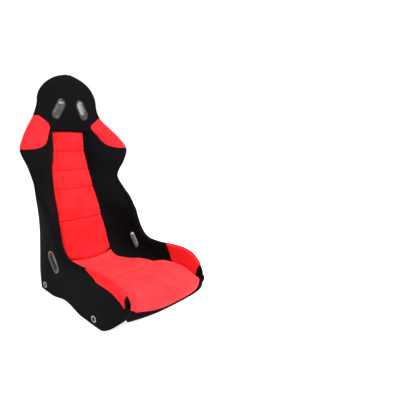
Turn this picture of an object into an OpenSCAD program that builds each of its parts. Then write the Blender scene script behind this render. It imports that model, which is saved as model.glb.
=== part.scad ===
// Fixed-back racing bucket seat: a glass-fibre shell with a skirt for side mounting,
// a velour skin outside, foam pads inside, and bezelled slots for a four-point harness.
// +Z is up, the seat faces -Y, and the origin is on the floor under the middle of the seat.

/* [Overall] */
// Height from the floor to the top of the head
seat_h = 799; // [792:1:812]
// Outside width over the side walls at the mounting bolts
base_w = 434; // [424:1:450]
// Outside width at the waist, under the shoulder wings
waist_w = 416; // [404:1:430]
// Outside width over the shoulder wings
shoulder_w = 512; // [496:1:530]
// Outside width of the head where it meets the shoulders
neck_w = 320; // [306:1:334]
// Height of the waist
waist_z = 391; // [380:1:400]
// Height of the widest point of the shoulder wings
shoulder_z = 507; // [498:1:516]
// Height where the shoulders run into the head
neck_z = 632; // [622:1:642]

/* [Shell] */
// Thickness of the glass-fibre laminate
shell_t = 5; // [4:0.5:6]
// Thickness of the velour skin glued over the laminate
skin_t = 2.5; // [2:0.5:3.5]
// Thickness of the seat pan laminate
pan_t = 4; // [3:0.5:5]
// Height of the arch between the feet of the skirt
arch_h = 16; // [10:1:20]

/* [Padding] */
// Width of the backrest panel over its upper half
panel_top_w = 158; // [146:1:166]
// Width of the backrest panel at the bottom
panel_low_w = 218; // [208:1:226]
// Thickness of the backrest panel
panel_t = 24; // [20:1:27]
// Depth of a sewn channel in the backrest panel
channel_d = 5; // [2:0.5:7]
// Thickness of the seat cushion
cushion_t = 42; // [36:1:46]
// Radius of the padded roll along the rim
roll_r = 14; // [11:0.5:15]

/* [Harness slots] */
// Length of the opening in a bezel
slot_l = 70; // [66:1:78]
// Width of the opening in a bezel
slot_w = 25; // [20:1:28]
// Width of a bezel's flange round its opening
bezel_rim = 8; // [6:0.5:9]
// Thickness of a bezel's flange
bezel_t = 4; // [3:0.5:5]
// Sideways distance of a shoulder slot from the middle
slot_x = 56; // [50:1:58]
// Height of the shoulder slots
slot_z = 661; // [656:1:672]
// Lean of the shoulder slots towards each other at the top, in degrees
slot_lean = 30; // [20:1:35]
// Height of the lap slots
lap_z = 129; // [122:1:132]
// Backward lean of the lap slots at the top, in degrees
lap_lean = 40; // [30:1:50]

/* [Side mounts] */
// Distance between the front and rear bolts of one side
bolt_pitch = 290; // [280:1:300]
// Height of the bolts above the floor
bolt_z = 22; // [20:0.5:26]
// Diameter of the threaded hole before it is tapped
thread_hole_d = 6.8; // [5:0.1:8.5]
// Outside diameter of a threaded bush
bush_d = 16; // [13:1:20]
// Length of a threaded bush
bush_l = 24; // [18:1:30]

/* [Clearances] */
// Gap between two padded pieces that are pushed together
pad_gap = 0.4; // [0.2:0.1:0.8]
// Gap between a pad and the laminate behind it
glue_gap = 0.6; // [0.4:0.1:1]
// Gap round a hard piece that sits in a hole
fit_gap = 0.3; // [0.2:0.1:0.6]

/* [Hidden] */
$fn = 48;

// ---- Fan of section planes ----
// Planes are upright across the pan, turn about the pivot round the bend, and lie level up
// the back. Place t runs 0 to 1 along the pan, 1 to 2 round the bend and 2 to 3 up the back.
front_y = -285;                 // front end of the padded side walls
pivot_y = -10;                  // pivot of the turning planes
pivot_z = 260;
bolt_mid_y = -23;               // middle of a side's two bolts
tuck_y = bolt_mid_y - bolt_pitch / 2 - 12;      // the walls turn in ahead of the front bolt
corner_y = bolt_mid_y + bolt_pitch / 2 + 10;    // and round the rear corner behind the rear one
// ---- Tables: each row is a place, then the values there ----
// Outer surface by height: half width, where the rear corner starts, rear face, two exponents
outer_rows = [
    [0, base_w / 2, corner_y, 206, 2, 5],
    [60, base_w / 2, corner_y - 2, 229, 2, 5],
    [lap_z, base_w / 2 - 3, 118, 246, 2.1, 5],
    [200, base_w / 2 - 4, 118, 261, 2, 4.5],
    [pivot_z, base_w / 2 - 4, 124, 279, 2, 4],
    [waist_z - 51, waist_w / 2 + 5, 174, 304, 1.8, 3],
    [waist_z, waist_w / 2, 222, 320, 1.5, 2.3],
    [waist_z + 59, shoulder_w / 2 - 23, 219, 332, 1.35, 1.7],
    [shoulder_z, shoulder_w / 2, 228, 339, 1.3, 1.5],
    [shoulder_z + 45, shoulder_w / 2 - 25, 253, 341, 1.5, 1.7],
    [neck_z - 47, neck_w / 2 + 42, 277, 341, 1.7, 2.1],
    [neck_z, neck_w / 2, 305, 341, 2, 2.5],
    [neck_z + 55, neck_w / 2 - 18, 311, 340, 2, 2.5],
    [seat_h, neck_w / 2 - 20, 324, 338, 2, 2.5]];
dome_z = neck_z + 55;           // height where the head starts to close as a dome
dome_bow = 1.65;                // exponents that shape the dome
dome_power = 0.55;
// Rim of the side walls by place along the pan: its height
rim_pan_rows = [[-285, 117], [-270, 138], [-252, 153], [-232, 163], [-205, 169], [-165, 171],
    [-110, 166], [-80, 161], [-45, 158], [pivot_y, 158]];
// Rim round the bend by angle: its distance from the pivot
rim_bend_rows = [[0, 102], [15, 98], [30, 92], [45, 87], [60, 85], [75, 87], [90, 94]];
// Rim up the back by height: its distance forward
rim_back_rows = [[pivot_z, 84], [308, 128], [waist_z - 51, 167], [waist_z - 21, 198],
    [waist_z, 210], [waist_z + 29, 210], [waist_z + 59, 204], [shoulder_z - 27, 207],
    [shoulder_z, 213], [shoulder_z + 45, 236], [neck_z - 47, 260], [neck_z, 291],
    [neck_z + 55, 300], [neck_z + 96, 303], [neck_z + 135, 306], [seat_h, 314]];
// Sitting surface along the pan by place: height of the cushion's middle
seat_pan_rows = [[-330, 80], [-310, 87], [-290, 94], [-240, 102], [-180, 104], [-120, 99],
    [-76, 92], [pivot_y, 84]];
// Depth of the cushion along the pan by place, as a share of its full thickness
cushion_share_rows = [[-320, 0.12], [-300, 0.17], [-280, 0.36], [-240, 0.76], [-190, 1],
    [pivot_y, 1]];
// Crown of the cushion along the pan by place: rise of its middle over its sides
crown_rows = [[-298, 5], [-270, 9], [-230, 13], [-150, 13], [-105, 9], [-76, 5], [pivot_y, 5]];
// Sitting surface round the bend by angle: distance from the pivot
seat_bend_rows = [[0, 176], [15, 190], [30, 213], [45, 216], [60, 206], [75, 207], [90, 221]];
// Sitting surface up the back by height: its place along Y
seat_back_rows = [[pivot_z, 211], [342, 250], [417, 278], [494, 297], [570, 308], [seat_h, 315]];
// Half width of the flat middle by t: cushion, bend, panel
floor_rows = [[0, 176], [0.5, 170], [0.82, 164], [1, 150], [1.17, 124], [1.34, 110],
    [1.5, panel_low_w / 2 + 3], [1.67, panel_low_w / 2 + 4], [1.83, panel_low_w / 2],
    [2, panel_low_w / 2 - 3], [2.15, panel_low_w / 2 - 10], [2.29, panel_top_w / 2 + 12],
    [2.43, panel_top_w / 2 + 1], [2.57, panel_top_w / 2]];
// Hollowness of the bolster's face by t: 1 is a hollow bowl, 0 is a full round pad
hollow_rows = [[0, 0.8], [1, 1], [1.6, 1], [2.15, 0.5], [2.4, 0.1], [2.6, 0]];
// How far a pad laps over the outside of the rim, by t: more below, less on the head
lap_rows = [[2.3, 12], [2.6, 8]];
// Front face of the head by height
head_rows = [[neck_z - 57, 301], [neck_z - 22, 295], [slot_z, 291], [neck_z + 98, 293],
    [neck_z + 138, 299], [seat_h - 10, 309], [seat_h, 316]];
channel_z = [492, 415, 341, 224];   // heights of the sewn channels
panel_top_z = 571;              // top edge of the backrest panel
head_low_z = 574;               // lower edge of the headrest pad
shoulder_low_z = 511;           // lower edge of a shoulder pad
thigh_front_y = -283;           // ends of a thigh pad
thigh_back_y = -112;
cushion_back_t = 1.44;          // where the cushion ends and the panel begins
front_tuck = 20;                // how far the side walls turn in at the front
slot_y = 71;                    // place of the lap slots along the seat
edge_r = 16;                    // how far from its edge a pad is drawn in
laminate_in = skin_t + shell_t; // from the outer surface to the laminate's inner face
front_reach = 20;               // bulge of the cushion's front edge in the middle
centre_y = 9.6;                 // shift that centres the bounding box along Y

// ---- Smooth curves through tables ----
function rise(rows, i, c) =
    let (a = max(i - 1, 0), b = min(i + 1, len(rows) - 1))
    (rows[b][c] - rows[a][c]) / (rows[b][0] - rows[a][0]);
function curve(rows, p, c = 1, i = 0) =
    p <= rows[0][0] ? rows[0][c] :
    p >= rows[len(rows) - 1][0] ? rows[len(rows) - 1][c] :
    p > rows[i + 1][0] ? curve(rows, p, c, i + 1) :
    let (h = rows[i + 1][0] - rows[i][0], f = (p - rows[i][0]) / h)
    rows[i][c] * (1 + 2 * f) * pow(1 - f, 2) + h * rise(rows, i, c) * f * pow(1 - f, 2)
    + rows[i + 1][c] * f * f * (3 - 2 * f) - h * rise(rows, i + 1, c) * f * f * (1 - f);
function lerp(a, b, f) = a + (b - a) * f;
function steps(a, b, n) = n == 0 ? [a] : [for (i = [0:n]) lerp(a, b, i / n)];
// 0 at a pad's edge and 1 from edge_r inwards, on a quarter circle
function pillow(d, r = edge_r) = d >= r ? 1 : d <= 0 ? 0 : sqrt(1 - pow(1 - d / r, 2));

// ---- Outer surface ----
// Half width at a height, for a surface set in from the outer one
function half_w(z, inset) =
    z < dome_z ? curve(outer_rows, z) - inset :
    let (f = min((z - dome_z) / (seat_h - inset - dome_z), 0.99))
    (curve(outer_rows, dome_z) - inset) * pow(1 - pow(f, dome_bow), dome_power);
function tuck(y) = y > tuck_y ? 0 : front_tuck * pow((tuck_y - y) / (tuck_y - front_y), 2);
function outer_x(y, z, inset = 0) =
    let (w = half_w(z, inset), yc = curve(outer_rows, z, 2), yr = curve(outer_rows, z, 3) - inset,
        f = (y - yc) / max(yr - yc, 0.5))
    f <= 0 ? w - tuck(y) : f >= 1 ? 0 :
    w * pow(1 - pow(f, curve(outer_rows, z, 4)), 1 / curve(outer_rows, z, 5));
function outer_y(x, z, inset = 0) =
    let (w = half_w(z, inset), yc = curve(outer_rows, z, 2), yr = curve(outer_rows, z, 3) - inset,
        f = min(x / w, 1))
    yc + max(yr - yc, 0.5) * pow(1 - pow(f, curve(outer_rows, z, 5)), 1 / curve(outer_rows, z, 4));

// ---- Section planes ----
// Point of plane t at distance r from the pivot's line: [y, z]
function plane_point(t, r) =
    t <= 1 ? [lerp(front_y, pivot_y, t), pivot_z - r] :
    t <= 2 ? [pivot_y + r * sin(90 * (t - 1)), pivot_z - r * cos(90 * (t - 1))] :
    [pivot_y + r, lerp(pivot_z, seat_h, t - 2)];
function t_pan(y) = (y - front_y) / (pivot_y - front_y);
function t_back(z) = z < pivot_z ? 2 - (pivot_z - z) / (pivot_z - 224) * 0.111 :
    2 + (z - pivot_z) / (seat_h - pivot_z);
function plane_y(t) = lerp(front_y, pivot_y, t);
function plane_z(t) = lerp(pivot_z, seat_h, t - 2);
function rim_r(t) =
    t <= 1 ? pivot_z - curve(rim_pan_rows, plane_y(t)) :
    t <= 2 ? curve(rim_bend_rows, 90 * (t - 1)) :
    curve(rim_back_rows, plane_z(t)) - pivot_y;
function seat_r(t) =
    t <= 1 ? pivot_z - curve(seat_pan_rows, plane_y(t)) :
    t <= 2 ? curve(seat_bend_rows, 90 * (t - 1)) :
    curve(seat_back_rows, plane_z(t)) - pivot_y;
function floor_w(t) = curve(floor_rows, t);
// Where the pan's laminate lies: under the cushion, then back to meet the shell
strip_t = 3;                    // space for the strips between the cushion and the pan
function cushion_share(t) = t < 1 ? curve(cushion_share_rows, plane_y(t)) : 1;
function pan_r(t) =
    let (under = seat_r(t) + cushion_t * cushion_share(t) + strip_t)
    t <= 1.4 ? under :
    let (f = min((t - 1.4) / 0.6, 1))
    lerp(under, back_reach(t, 0, laminate_in + pan_t), f * f * (3 - 2 * f));
// How far a surface set in from the outer one lies along plane t at half width x
function back_reach(t, x, inset, lo = 60, hi = 420, n = 12) =
    n == 0 ? lo :
    let (m = (lo + hi) / 2, p = plane_point(t, m))
    outer_x(p[0], p[1], inset) > x ? back_reach(t, x, inset, m, hi, n - 1)
        : back_reach(t, x, inset, lo, m, n - 1);
function place(t, x, r) = let (p = plane_point(t, r)) [x, p[0], p[1]];

// ---- Solids between two sheets ----
// Joins two grids of points, given station by station, into one closed solid
module sheet_solid(fronts, backs) {
    k = len(fronts);
    n = len(fronts[0]);
    points = concat([for (row = fronts) each row], [for (row = backs) each row]);
    half = k * n;
    end = (k - 1) * n;
    quads = concat(
        [for (a = [0:n:end - 1], i = [a:a + n - 2]) [i, i + 1, i + n + 1, i + n]],
        [for (a = [half:n:half + end - 1], i = [a:a + n - 2]) [i, i + n, i + n + 1, i + 1]],
        [for (a = [0:n:end - 1]) [a, a + n, half + a + n, half + a]],
        [for (a = [n - 1:n:end - 1]) [a, half + a, half + a + n, a + n]],
        [for (i = [0:n - 2]) [i, half + i, half + i + 1, i + 1]],
        [for (i = [end:end + n - 2]) [i, i + 1, half + i + 1, half + i]]);
    mid = floor(k / 2) * n + floor((n - 1) / 2);
    turned = cross(points[mid + 1] - points[mid], points[mid + n] - points[mid])
        * (points[mid] - points[half + mid]) > 0;
    polyhedron(points, [for (q = quads) each turned ? [[q[0], q[2], q[1]], [q[0], q[3], q[2]]]
        : [[q[0], q[1], q[2]], [q[0], q[2], q[3]]]]);
}

// ---- Padded sections ----
// Point on a bolster's face: q is 0 at the flat middle and 1 at the rim. Gives [x, r]
function rim_x(t, extra = 0) =
    let (p = plane_point(t, rim_r(t) + roll_r + extra)) outer_x(p[0], p[1]);
function face_point(t, q) =
    let (hollow = curve(hollow_rows, t), side = 1 - cos(90 * q), up = sin(90 * q),
        x_end = rim_x(t) - roll_r * (1 + hollow), r_end = rim_r(t) + roll_r * hollow)
    [lerp(floor_w(t) + pad_gap, x_end, lerp(side, up, hollow)),
        lerp(seat_r(t) + root_d, r_end, lerp(up, side, hollow))];
function face_place(t, q) = let (tq = lean_t(t, 1 - q), f = face_point(tq, q)) place(tq, f[0], f[1]);
// The joint between a thigh pad and its bolster leans: it runs forward towards its root and
// towards the end of the lap, where the share is 1, and back over the top of the rim's roll
function lean_t(t, share) = t - thigh_lean * share
    * (t < joint_t ? max(t, 0) / joint_t : max(1 - t, 0) / (1 - joint_t));
thigh_lean = 0.19;
// That share round the roll
roll_share_rows = [[0, 0], [0.35, -0.25], [0.6, -0.3], [0.85, 0.25], [1, 0.6]];
joint_t = t_pan(thigh_back_y);
root_d = 4;                     // how far a bolster's root lies behind the sitting surface
nose_n = 4;                     // facets round the rim's roll
rim_n = nose_n + 4;             // intervals of a section outside the cut place
split_q = 0.65;                 // share of the face inside the cut place where nothing is cut
cut_share = 0.45;               // share of a cut that belongs to the front rows
pad_inset = laminate_in + glue_gap;     // from the outer surface to the hidden side of a pad
function lap_l(t) = curve(lap_rows, t);
// Point of the roll round the rim at angle a, then of the lap at its end
function roll_place(t, a) = place(t, rim_x(t) - roll_r * (1 - sin(a)), rim_r(t) + roll_r * (1 - cos(a)));
function lap_place(t, inset) = place(t, rim_x(t, lap_l(t)) - inset, rim_r(t) + roll_r + lap_l(t));
// Face from q0 to qc, then on to the rim, round its roll and down the outside if over is
// true, else down a cut towards the hidden side
function pad_front(t, q0, qc, over, n) = concat([for (q = steps(q0, qc, n)) face_place(t, q)],
    over ? concat([for (i = [1:3]) face_place(t, lerp(qc, 1, i / 3))],
        [for (i = [1:nose_n]) roll_place(lean_t(t, curve(roll_share_rows, i / nose_n)),
            lerp(-90 * curve(hollow_rows, t), 90, i / nose_n))],
        [lap_place(lean_t(t, 1), 0)])
    : [for (i = [1:rim_n]) cut_place(t, qc, cut_share * i / rim_n)]);
function pad_back(t, q0, qc, over, n) =
    let (tb = lean_t(t, 1), x0 = face_point(tb, q0)[0],
        xc = face_point(tb, qc)[0], xb = rim_x(tb, lap_l(tb)) - pad_inset - 0.5,
        xm = over ? max(xc, lerp(x0, xb, 0.4)) : xc, x1 = n == 0 ? xc : xm)
    concat([for (f = steps(0, 1, n)) hidden_place(tb, n == 0 ? xc : lerp(x0, xm, f))],
        over ? concat([for (i = [1:rim_n - 2]) hidden_place(tb, lerp(x1, xb, i / (rim_n - 2)))],
            [lerp(hidden_place(tb, xb), lap_place(tb, pad_inset), 0.5) + [0.12, 0, 0],
                lap_place(tb, pad_inset)])
        : [for (i = [1:rim_n]) cut_place(t, qc, 1 - cut_share * i / rim_n)]);
function cut_place(t, qc, share) =
    let (f = face_point(t, qc)) place(t, f[0], lerp(f[1], hidden_r(t, f[0]), share));
function hidden_place(t, x) = place(t, x, hidden_r(t, x));
// A pad's hidden side lies on the laminate or the pan, and stays up at the front end
function hidden_r(t, x) =
    min(back_reach(t, x, pad_inset), t < 2 ? pan_r(t) - glue_gap : 1000,
        t < 0.15 ? pivot_z - lerp(front_end_z, front_end_z - 16, max(t, 0) / 0.15) : 1000);
front_end_z = 86;                // height of the hidden side there
// A row of stations [t, q0, qc, over] becomes one pad, with n intervals before the cut place
module side_pad(rows, n) {
    sheet_solid([for (s = rows) pad_front(s[0], s[1], s[2], s[3], n)],
        [for (s = rows) pad_back(s[0], s[1], s[2], s[3], n)]);
}
module both(left) {
    mirror([left ? 0 : 1, 0, 0]) children();
}
// Everything is drawn about the section planes' own origin, then centred along Y
module centred() {
    translate([0, -centre_y, 0]) children();
}

// ---- Slots ----
module stadium(l, w) {
    polygon([for (s = [1, -1], a = steps(0, 180, 12)) s * [w / 2 * cos(a), (l - w) / 2 + w / 2 * sin(a)]]);
}
collar_t = 2;                   // wall of a bezel's collar
// Straight slot cutter through the origin along Z, from z0 to z1
module slot_cut(l, w, z0, z1) {
    hull() for (s = [-1, 1]) translate([0, s * (l - w) / 2, z0])
        cylinder(d = w, h = z1 - z0, $fn = 24);
}
tunnel_l = slot_l + 2 * (collar_t + fit_gap);
tunnel_w = slot_w + 2 * (collar_t + fit_gap);
flange_l = slot_l + 2 * bezel_rim;
flange_w = slot_w + 2 * bezel_rim;
pocket_l = flange_l + 2 * fit_gap;
pocket_w = flange_w + 2 * fit_gap;
// Seats of the bezels' flanges, from the same surfaces that they rest on
shoulder_front_y = curve(head_rows, slot_z) + bezel_t;
shoulder_rear_y = outer_y(slot_x, slot_z) - bezel_t;
lap_inner_x = base_w / 2 - 27 + bezel_t;
lap_outer_x = outer_x(slot_y, lap_z) - skin_t;
// The local Z of a shoulder slot points forwards, and of a lap slot inwards
module at_shoulder(left) {
    both(left) translate([slot_x, 0, slot_z]) rotate([90, 0, 0]) rotate([0, 0, slot_lean]) children();
}
module at_lap(left) {
    both(left) translate([0, slot_y, lap_z]) rotate([0, -90, 0]) rotate([0, 0, 90 + lap_lean]) children();
}
module shoulder_cuts() {
    for (left = [true, false]) at_shoulder(left) {
        slot_cut(tunnel_l, tunnel_w, -400, -200);
        slot_cut(pocket_l, pocket_w, -400, -shoulder_rear_y);
    }
}
module lap_cuts() {
    for (left = [true, false]) at_lap(left) {
        slot_cut(tunnel_l, tunnel_w, -260, -150);
        slot_cut(pocket_l, pocket_w, -260, -lap_outer_x);
    }
}
module bezel(collar_l) {
    color("dimgray") {
        linear_extrude(bezel_t) difference() {
            stadium(flange_l, flange_w);
            stadium(slot_l, slot_w);
        }
        translate([0, 0, -collar_l]) linear_extrude(collar_l) difference() {
            stadium(slot_l + 2 * collar_t, slot_w + 2 * collar_t);
            stadium(slot_l, slot_w);
        }
    }
}
shoulder_collar = (shoulder_rear_y - shoulder_front_y) / 2 - fit_gap;
lap_collar = (lap_outer_x - lap_inner_x) / 2 - fit_gap;

// ---- Shell and skin ----
lay_gap = 0.15;                 // glue line between the laminate and the velour
edge_gap = 1;                   // gap between the pads' lap and the trimmed edges
wrap_n = 9;                     // facets round one rear corner
wall_y = concat([-20], steps(tuck_y, -300, 2));
function outline_half(z, inset) =
    let (w = half_w(z, inset), yc = curve(outer_rows, z, 2), a = curve(outer_rows, z, 4),
        b = curve(outer_rows, z, 5), yr = max(curve(outer_rows, z, 3) - inset, yc + 0.5))
    concat([for (k = [0:wrap_n]) let (f = 90 * k / wrap_n)
            [w * pow(sin(f), 2 / b), yc + (yr - yc) * pow(cos(f), 2 / a), z]],
        [for (y = wall_y) [w - tuck(y), y, z]]);
function outline(z, inset) =
    let (h = outline_half(z, inset), n = len(h))
    concat([for (i = [n - 1:-1:1]) [-h[i][0], h[i][1], h[i][2]]], h);
shell_z = concat(steps(0, 60, 1), steps(110, pivot_z, 3), steps(300, 400, 4), steps(430, 620, 6),
    steps(650, seat_h - 10, 5));
// Side view of the walls: the raked front, the edge below the pads' lap, and all that is behind
wall_front = [[-203, 0], [-221, 8], [-242, 23], [-261, 42], [-278, 60], [-290, 77], [-293, 88],
    [-288, 97]];
wall_t = concat(steps(t_pan(-276), 1, 8), steps(1.14, 2, 6),
    [for (z = concat(steps(280, 400, 5), steps(430, seat_h, 11))) t_back(z)]);
side_outline = concat(wall_front,
    [for (t = wall_t) plane_point(t, rim_r(t) + roll_r + lap_l(t) + edge_gap)],
    [[420, seat_h + 9], [420, 0]]);
module wall(inner, outer) {
    difference() {
        intersection() {
            sheet_solid([for (z = shell_z) outline(z, outer)], [for (z = shell_z) outline(z, inner)]);
            rotate([90, 0, 90]) linear_extrude(2 * shoulder_w, center = true) polygon(side_outline);
        }
        shoulder_cuts();
        lap_cuts();
        skirt_arches();
        bush_holes();
    }
}
arch_y = [-110, 80];            // ends of the side arch
rear_arch_w = 250;              // width of the arch under the back
module skirt_arches() {
    rotate([90, 0, 90]) linear_extrude(2 * shoulder_w, center = true)
        polygon(concat([for (f = steps(0, 1, 10)) [lerp(arch_y[0], arch_y[1], f),
            arch_h * (1 - cos(360 * f)) / 2]], [[arch_y[1], -9], [arch_y[0], -9]]));
    translate([0, 400, 0]) rotate([90, 0, 0]) linear_extrude(260)
        polygon(concat([for (f = steps(0, 1, 10)) [lerp(-0.5, 0.5, f) * rear_arch_w,
            arch_h * (1 - cos(360 * f)) / 2]], [[rear_arch_w / 2, -9], [-rear_arch_w / 2, -9]]));
}
module at_bolts() {
    for (s = [-1, 1]) translate([0, s * bolt_pitch / 2 + bolt_mid_y, bolt_z]) rotate([0, 90, 0]) children();
}
module bush_holes() {
    at_bolts() cylinder(d = bush_d + 2 * fit_gap, h = 2 * base_w, center = true, $fn = 20);
}
module seat_shell() {
    color("darkkhaki") centred() wall(laminate_in, skin_t);
}
module outer_skin() {
    color("#17171a") centred() wall(skin_t - lay_gap, 0);
}

// ---- Pan ----
pan_stations = concat(steps(t_pan(-287), 1, 8), steps(1.1, 1.9, 8));
// The pan's edge stops at the laminate, and at the steel plate where it runs that low
function pan_half(t, deep) =
    let (p = plane_point(t, pan_r(t) + deep))
    outer_x(p[0], p[1], pad_inset) - (p[1] < plate_top_z + pan_t ? plate_t + fit_gap : 0);
function pan_sheet(deep) = [for (t = pan_stations) let (w = pan_half(t, pan_t))
    [for (u = steps(-1, 1, 8)) let (p = place(t, w * u, pan_r(t) + deep)) [p[0], p[1] - bulge(t, u), p[2]]]];
module seat_pan() {
    color("darkkhaki") centred() sheet_solid(pan_sheet(0), pan_sheet(pan_t));
}

// ---- Middle pads ----
function flat_row(t, w, r, n = 8) = [for (u = steps(-1, 1, n)) place(t, w * u, r)];
foam_stations = concat(steps(1.5, 2, 6), steps(2.1, t_back(panel_top_z) - 0.005, 5));
function foam_front(t) = seat_r(t) + panel_t + glue_gap;
function foam_back(t) =
    max(foam_front(t) + 0.5, min(t < 1.98 ? pan_r(t) - glue_gap : 1000,
        back_reach(t, floor_w(t) - 8, pad_inset)));
module back_foam() {
    color("khaki") centred() sheet_solid(
        [for (t = foam_stations) flat_row(t, floor_w(t) - 8, foam_front(t), 4)],
        [for (t = foam_stations) flat_row(t, floor_w(t) - 8, foam_back(t), 4)]);
}
// Backrest panel: sewn sections between channels, each one crowned
seam_t = concat([t_back(panel_top_z)], [for (z = channel_z) t_back(z)], [cushion_back_t + 0.012]);
section_parts = [0, 0.07, 0.2, 0.5, 0.8, 0.93];
spread_8 = [-1, -0.98, -0.91, -0.6, -0.25, 0, 0.25, 0.6, 0.91, 0.98, 1];   // closer near the edges
mm_per_t = 330;                 // rough length of one unit of t on the sitting surface
function last(list) = list[len(list) - 1];
panel_stations = concat([for (k = [0:len(seam_t) - 2], f = section_parts)
    lerp(seam_t[k], seam_t[k + 1], f)], [last(seam_t)]);
// The joint between cushion and panel bows forward in the middle, and both pads follow it
bow_t = 0.055;
function bowed(t, u) = t - bow_t * (1 - u * u) * exp(-pow((t - cushion_back_t) / 0.22, 2));
function channel(t) = channel_d * max([for (k = [1:len(seam_t) - 2])
    exp(-pow((t - seam_t[k]) * mm_per_t / 5, 2))]);
function panel_end(t) = pillow(min(t - last(seam_t), seam_t[0] - t) * mm_per_t);
module backrest_panel() {
    color("#e8363c") centred() sheet_solid(
        [for (t = panel_stations) let (w = floor_w(t) - pad_gap) [for (u = spread_8)
            let (tb = bowed(t, u)) place(tb, w * u, seat_r(tb) + channel(t) - 3 * (1 - u * u)
                + 10 * (1 - panel_end(t) * pillow(w * (1 - abs(u)))))]],
        [for (t = panel_stations) [for (u = steps(-1, 1, 10))
            let (tb = bowed(t, u)) place(tb, (floor_w(t) - pad_gap) * u, seat_r(tb) + panel_t)]]);
}
// Seat cushion: crowned, drawn in at the sides, bulged in front, with a seam across the back
cushion_front_y = -298;
cushion_seam_y = -76;
spread_12 = [-1, -0.985, -0.94, -0.86, -0.6, -0.3, 0, 0.3, 0.6, 0.86, 0.94, 0.985, 1];
pan_parts = [0, 0.01, 0.03, 0.06, 0.1, 0.2, 0.35, 0.5, 0.65, 0.74, 0.77, 0.78, 0.79, 0.82, 0.92];
cushion_stations = concat([for (f = pan_parts) lerp(t_pan(cushion_front_y), 1, f)],
    steps(1, cushion_back_t - 0.06, 4), [cushion_back_t - 0.02, cushion_back_t]);
function bulge(t, u) = t > 0.3 ? 0 : front_reach * (1 - u * u) * pow(min(1, (0.3 - t) / 0.36), 1.5);
function cushion_end(t) = pillow(min(t - cushion_stations[0], cushion_back_t - t) * mm_per_t, 20);
function cushion_point(t, u, deep) =
    let (w = floor_w(t) - pad_gap, e = cushion_end(t) * pillow(w * (1 - abs(u)), 24),
        tb = bowed(t, u), thick = pan_r(tb) - strip_t - seat_r(tb),
        seam = 3 * exp(-pow((t - t_pan(cushion_seam_y)) * mm_per_t / 5, 2)),
        r = deep ? seat_r(tb) + thick - min(6, 0.15 * thick) * (1 - e)
            : seat_r(tb) + seam - curve(crown_rows, plane_y(t)) * (1 - pow(u, 4))
                + min(12, 0.35 * thick) * (1 - e),
        p = place(tb, w * u, r))
    [p[0], p[1] - bulge(t, u), p[2]];
module seat_cushion() {
    color("#e8363c") centred() sheet_solid(
        [for (t = cushion_stations) [for (u = spread_12) cushion_point(t, u, false)]],
        [for (t = cushion_stations) [for (u = spread_12) cushion_point(t, u, true)]]);
}
// Hook-and-loop strips that hold the cushion to the pan
module cushion_hook_strips() {
    color("black") centred() for (side = [-1, 1])
        sheet_solid([for (t = strip_stations) [for (x = strip_x) place(t, side * x, pan_r(t) - 2.4)]],
            [for (t = strip_stations) [for (x = strip_x) place(t, side * x, pan_r(t) - 0.2)]]);
}
strip_x = [90, 115];            // inner and outer edge of a strip
strip_stations = [for (t = pan_stations) if (t > 0.3 && t <= 1) t];
// Black roll along the pan's front edge, under the cushion
roll_half_w = 187.5;
module front_edge_roll() {
    stations = [for (a = steps(-90, 90, 14)) roll_half_w * sin(a)];
    color("#17171a") centred() sheet_solid(
        [for (x = stations) [for (a = steps(172, 8, 5)) roll_point(x, a)]],
        [for (x = stations) [for (a = steps(188, 352, 5)) roll_point(x, a)]]);
}
function roll_point(x, a) =
    let (u = x / roll_half_w, e = max(pillow(roll_half_w - abs(x), 10), 0.2))
    [x, -292 - (front_reach + 2) * (1 - u * u) + 8 * e * cos(a), 77.4 + 3 * u * u + 4.4 * e * sin(a)];

// ---- Head ----
head_edge_z = neck_z - 4;       // below this the shoulder pads bound the head pad
// Where the seam of a shoulder pad crosses the face, as a share of it, by height
shoulder_q_rows = [[shoulder_low_z, 0.72], [shoulder_low_z + 7, 0.65], [shoulder_z + 54, 0.51],
    [neck_z - 34, 0.42], [neck_z, 0.97]];
function shoulder_q(z) = curve(shoulder_q_rows, z);
head_n = 10;                    // intervals of half a row of the head
head_z = concat(steps(head_low_z, head_edge_z, 3), steps(neck_z, dome_z, 3),
    [for (a = steps(13, 84, 7)) dome_z + (seat_h - dome_z) * sin(a)], [seat_h]);
function head_roll(z) = min(roll_r, 0.45 * half_w(z, 0));
function head_nose_y(z) = curve(rim_back_rows, z) + head_roll(z);
function head_lap_y(z) = head_nose_y(z) + lap_l(3);
function head_half_front(z) =
    let (over = z > head_edge_z, t = t_back(z), y0 = curve(head_rows, z), roll = head_roll(z),
        edge = face_point(t, shoulder_q(z)), x_side = outer_x(head_nose_y(z), z),
        x1 = over ? x_side - roll : edge[0] - pad_gap,
        y1 = over ? curve(rim_back_rows, z) : edge[1] + pivot_y, n = over ? head_n - 4 : head_n)
    concat([for (u = steps(0, 1, n)) [x1 * u, lerp(y0, y1, pow(u, over ? 2.5 : 4)), z]],
        over ? concat([for (a = [30, 60, 90]) [x_side - roll * (1 - sin(a)), y1 + roll * (1 - cos(a)), z]],
            [[outer_x(head_lap_y(z), z), min(head_lap_y(z), outer_y(0, z) - 0.3), z]]) : []);
function head_half_back(z) =
    let (over = z > head_edge_z, lap_y = head_lap_y(z),
        x1 = over ? outer_x(lap_y, z, pad_inset) : last(head_half_front(z))[0])
    [for (u = steps(0, 1, head_n)) let (x = x1 * u, in_y = outer_y(x, z, pad_inset))
        [x, over ? min(outer_y(x, z), max(in_y, lap_y)) : in_y, z]];
function mirrored(half) =
    concat([for (i = [len(half) - 1:-1:1]) [-half[i][0], half[i][1], half[i][2]]], half);
module headrest_pad() {
    color("#17171a") centred() difference() {
        sheet_solid([for (z = head_z) mirrored(head_half_front(z))],
            [for (z = head_z) mirrored(head_half_back(z))]);
        for (left = [true, false]) at_shoulder(left) {
            slot_cut(tunnel_l, tunnel_w, -400, -200);
            slot_cut(pocket_l, pocket_w, -shoulder_front_y, -200);
        }
    }
}

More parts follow.
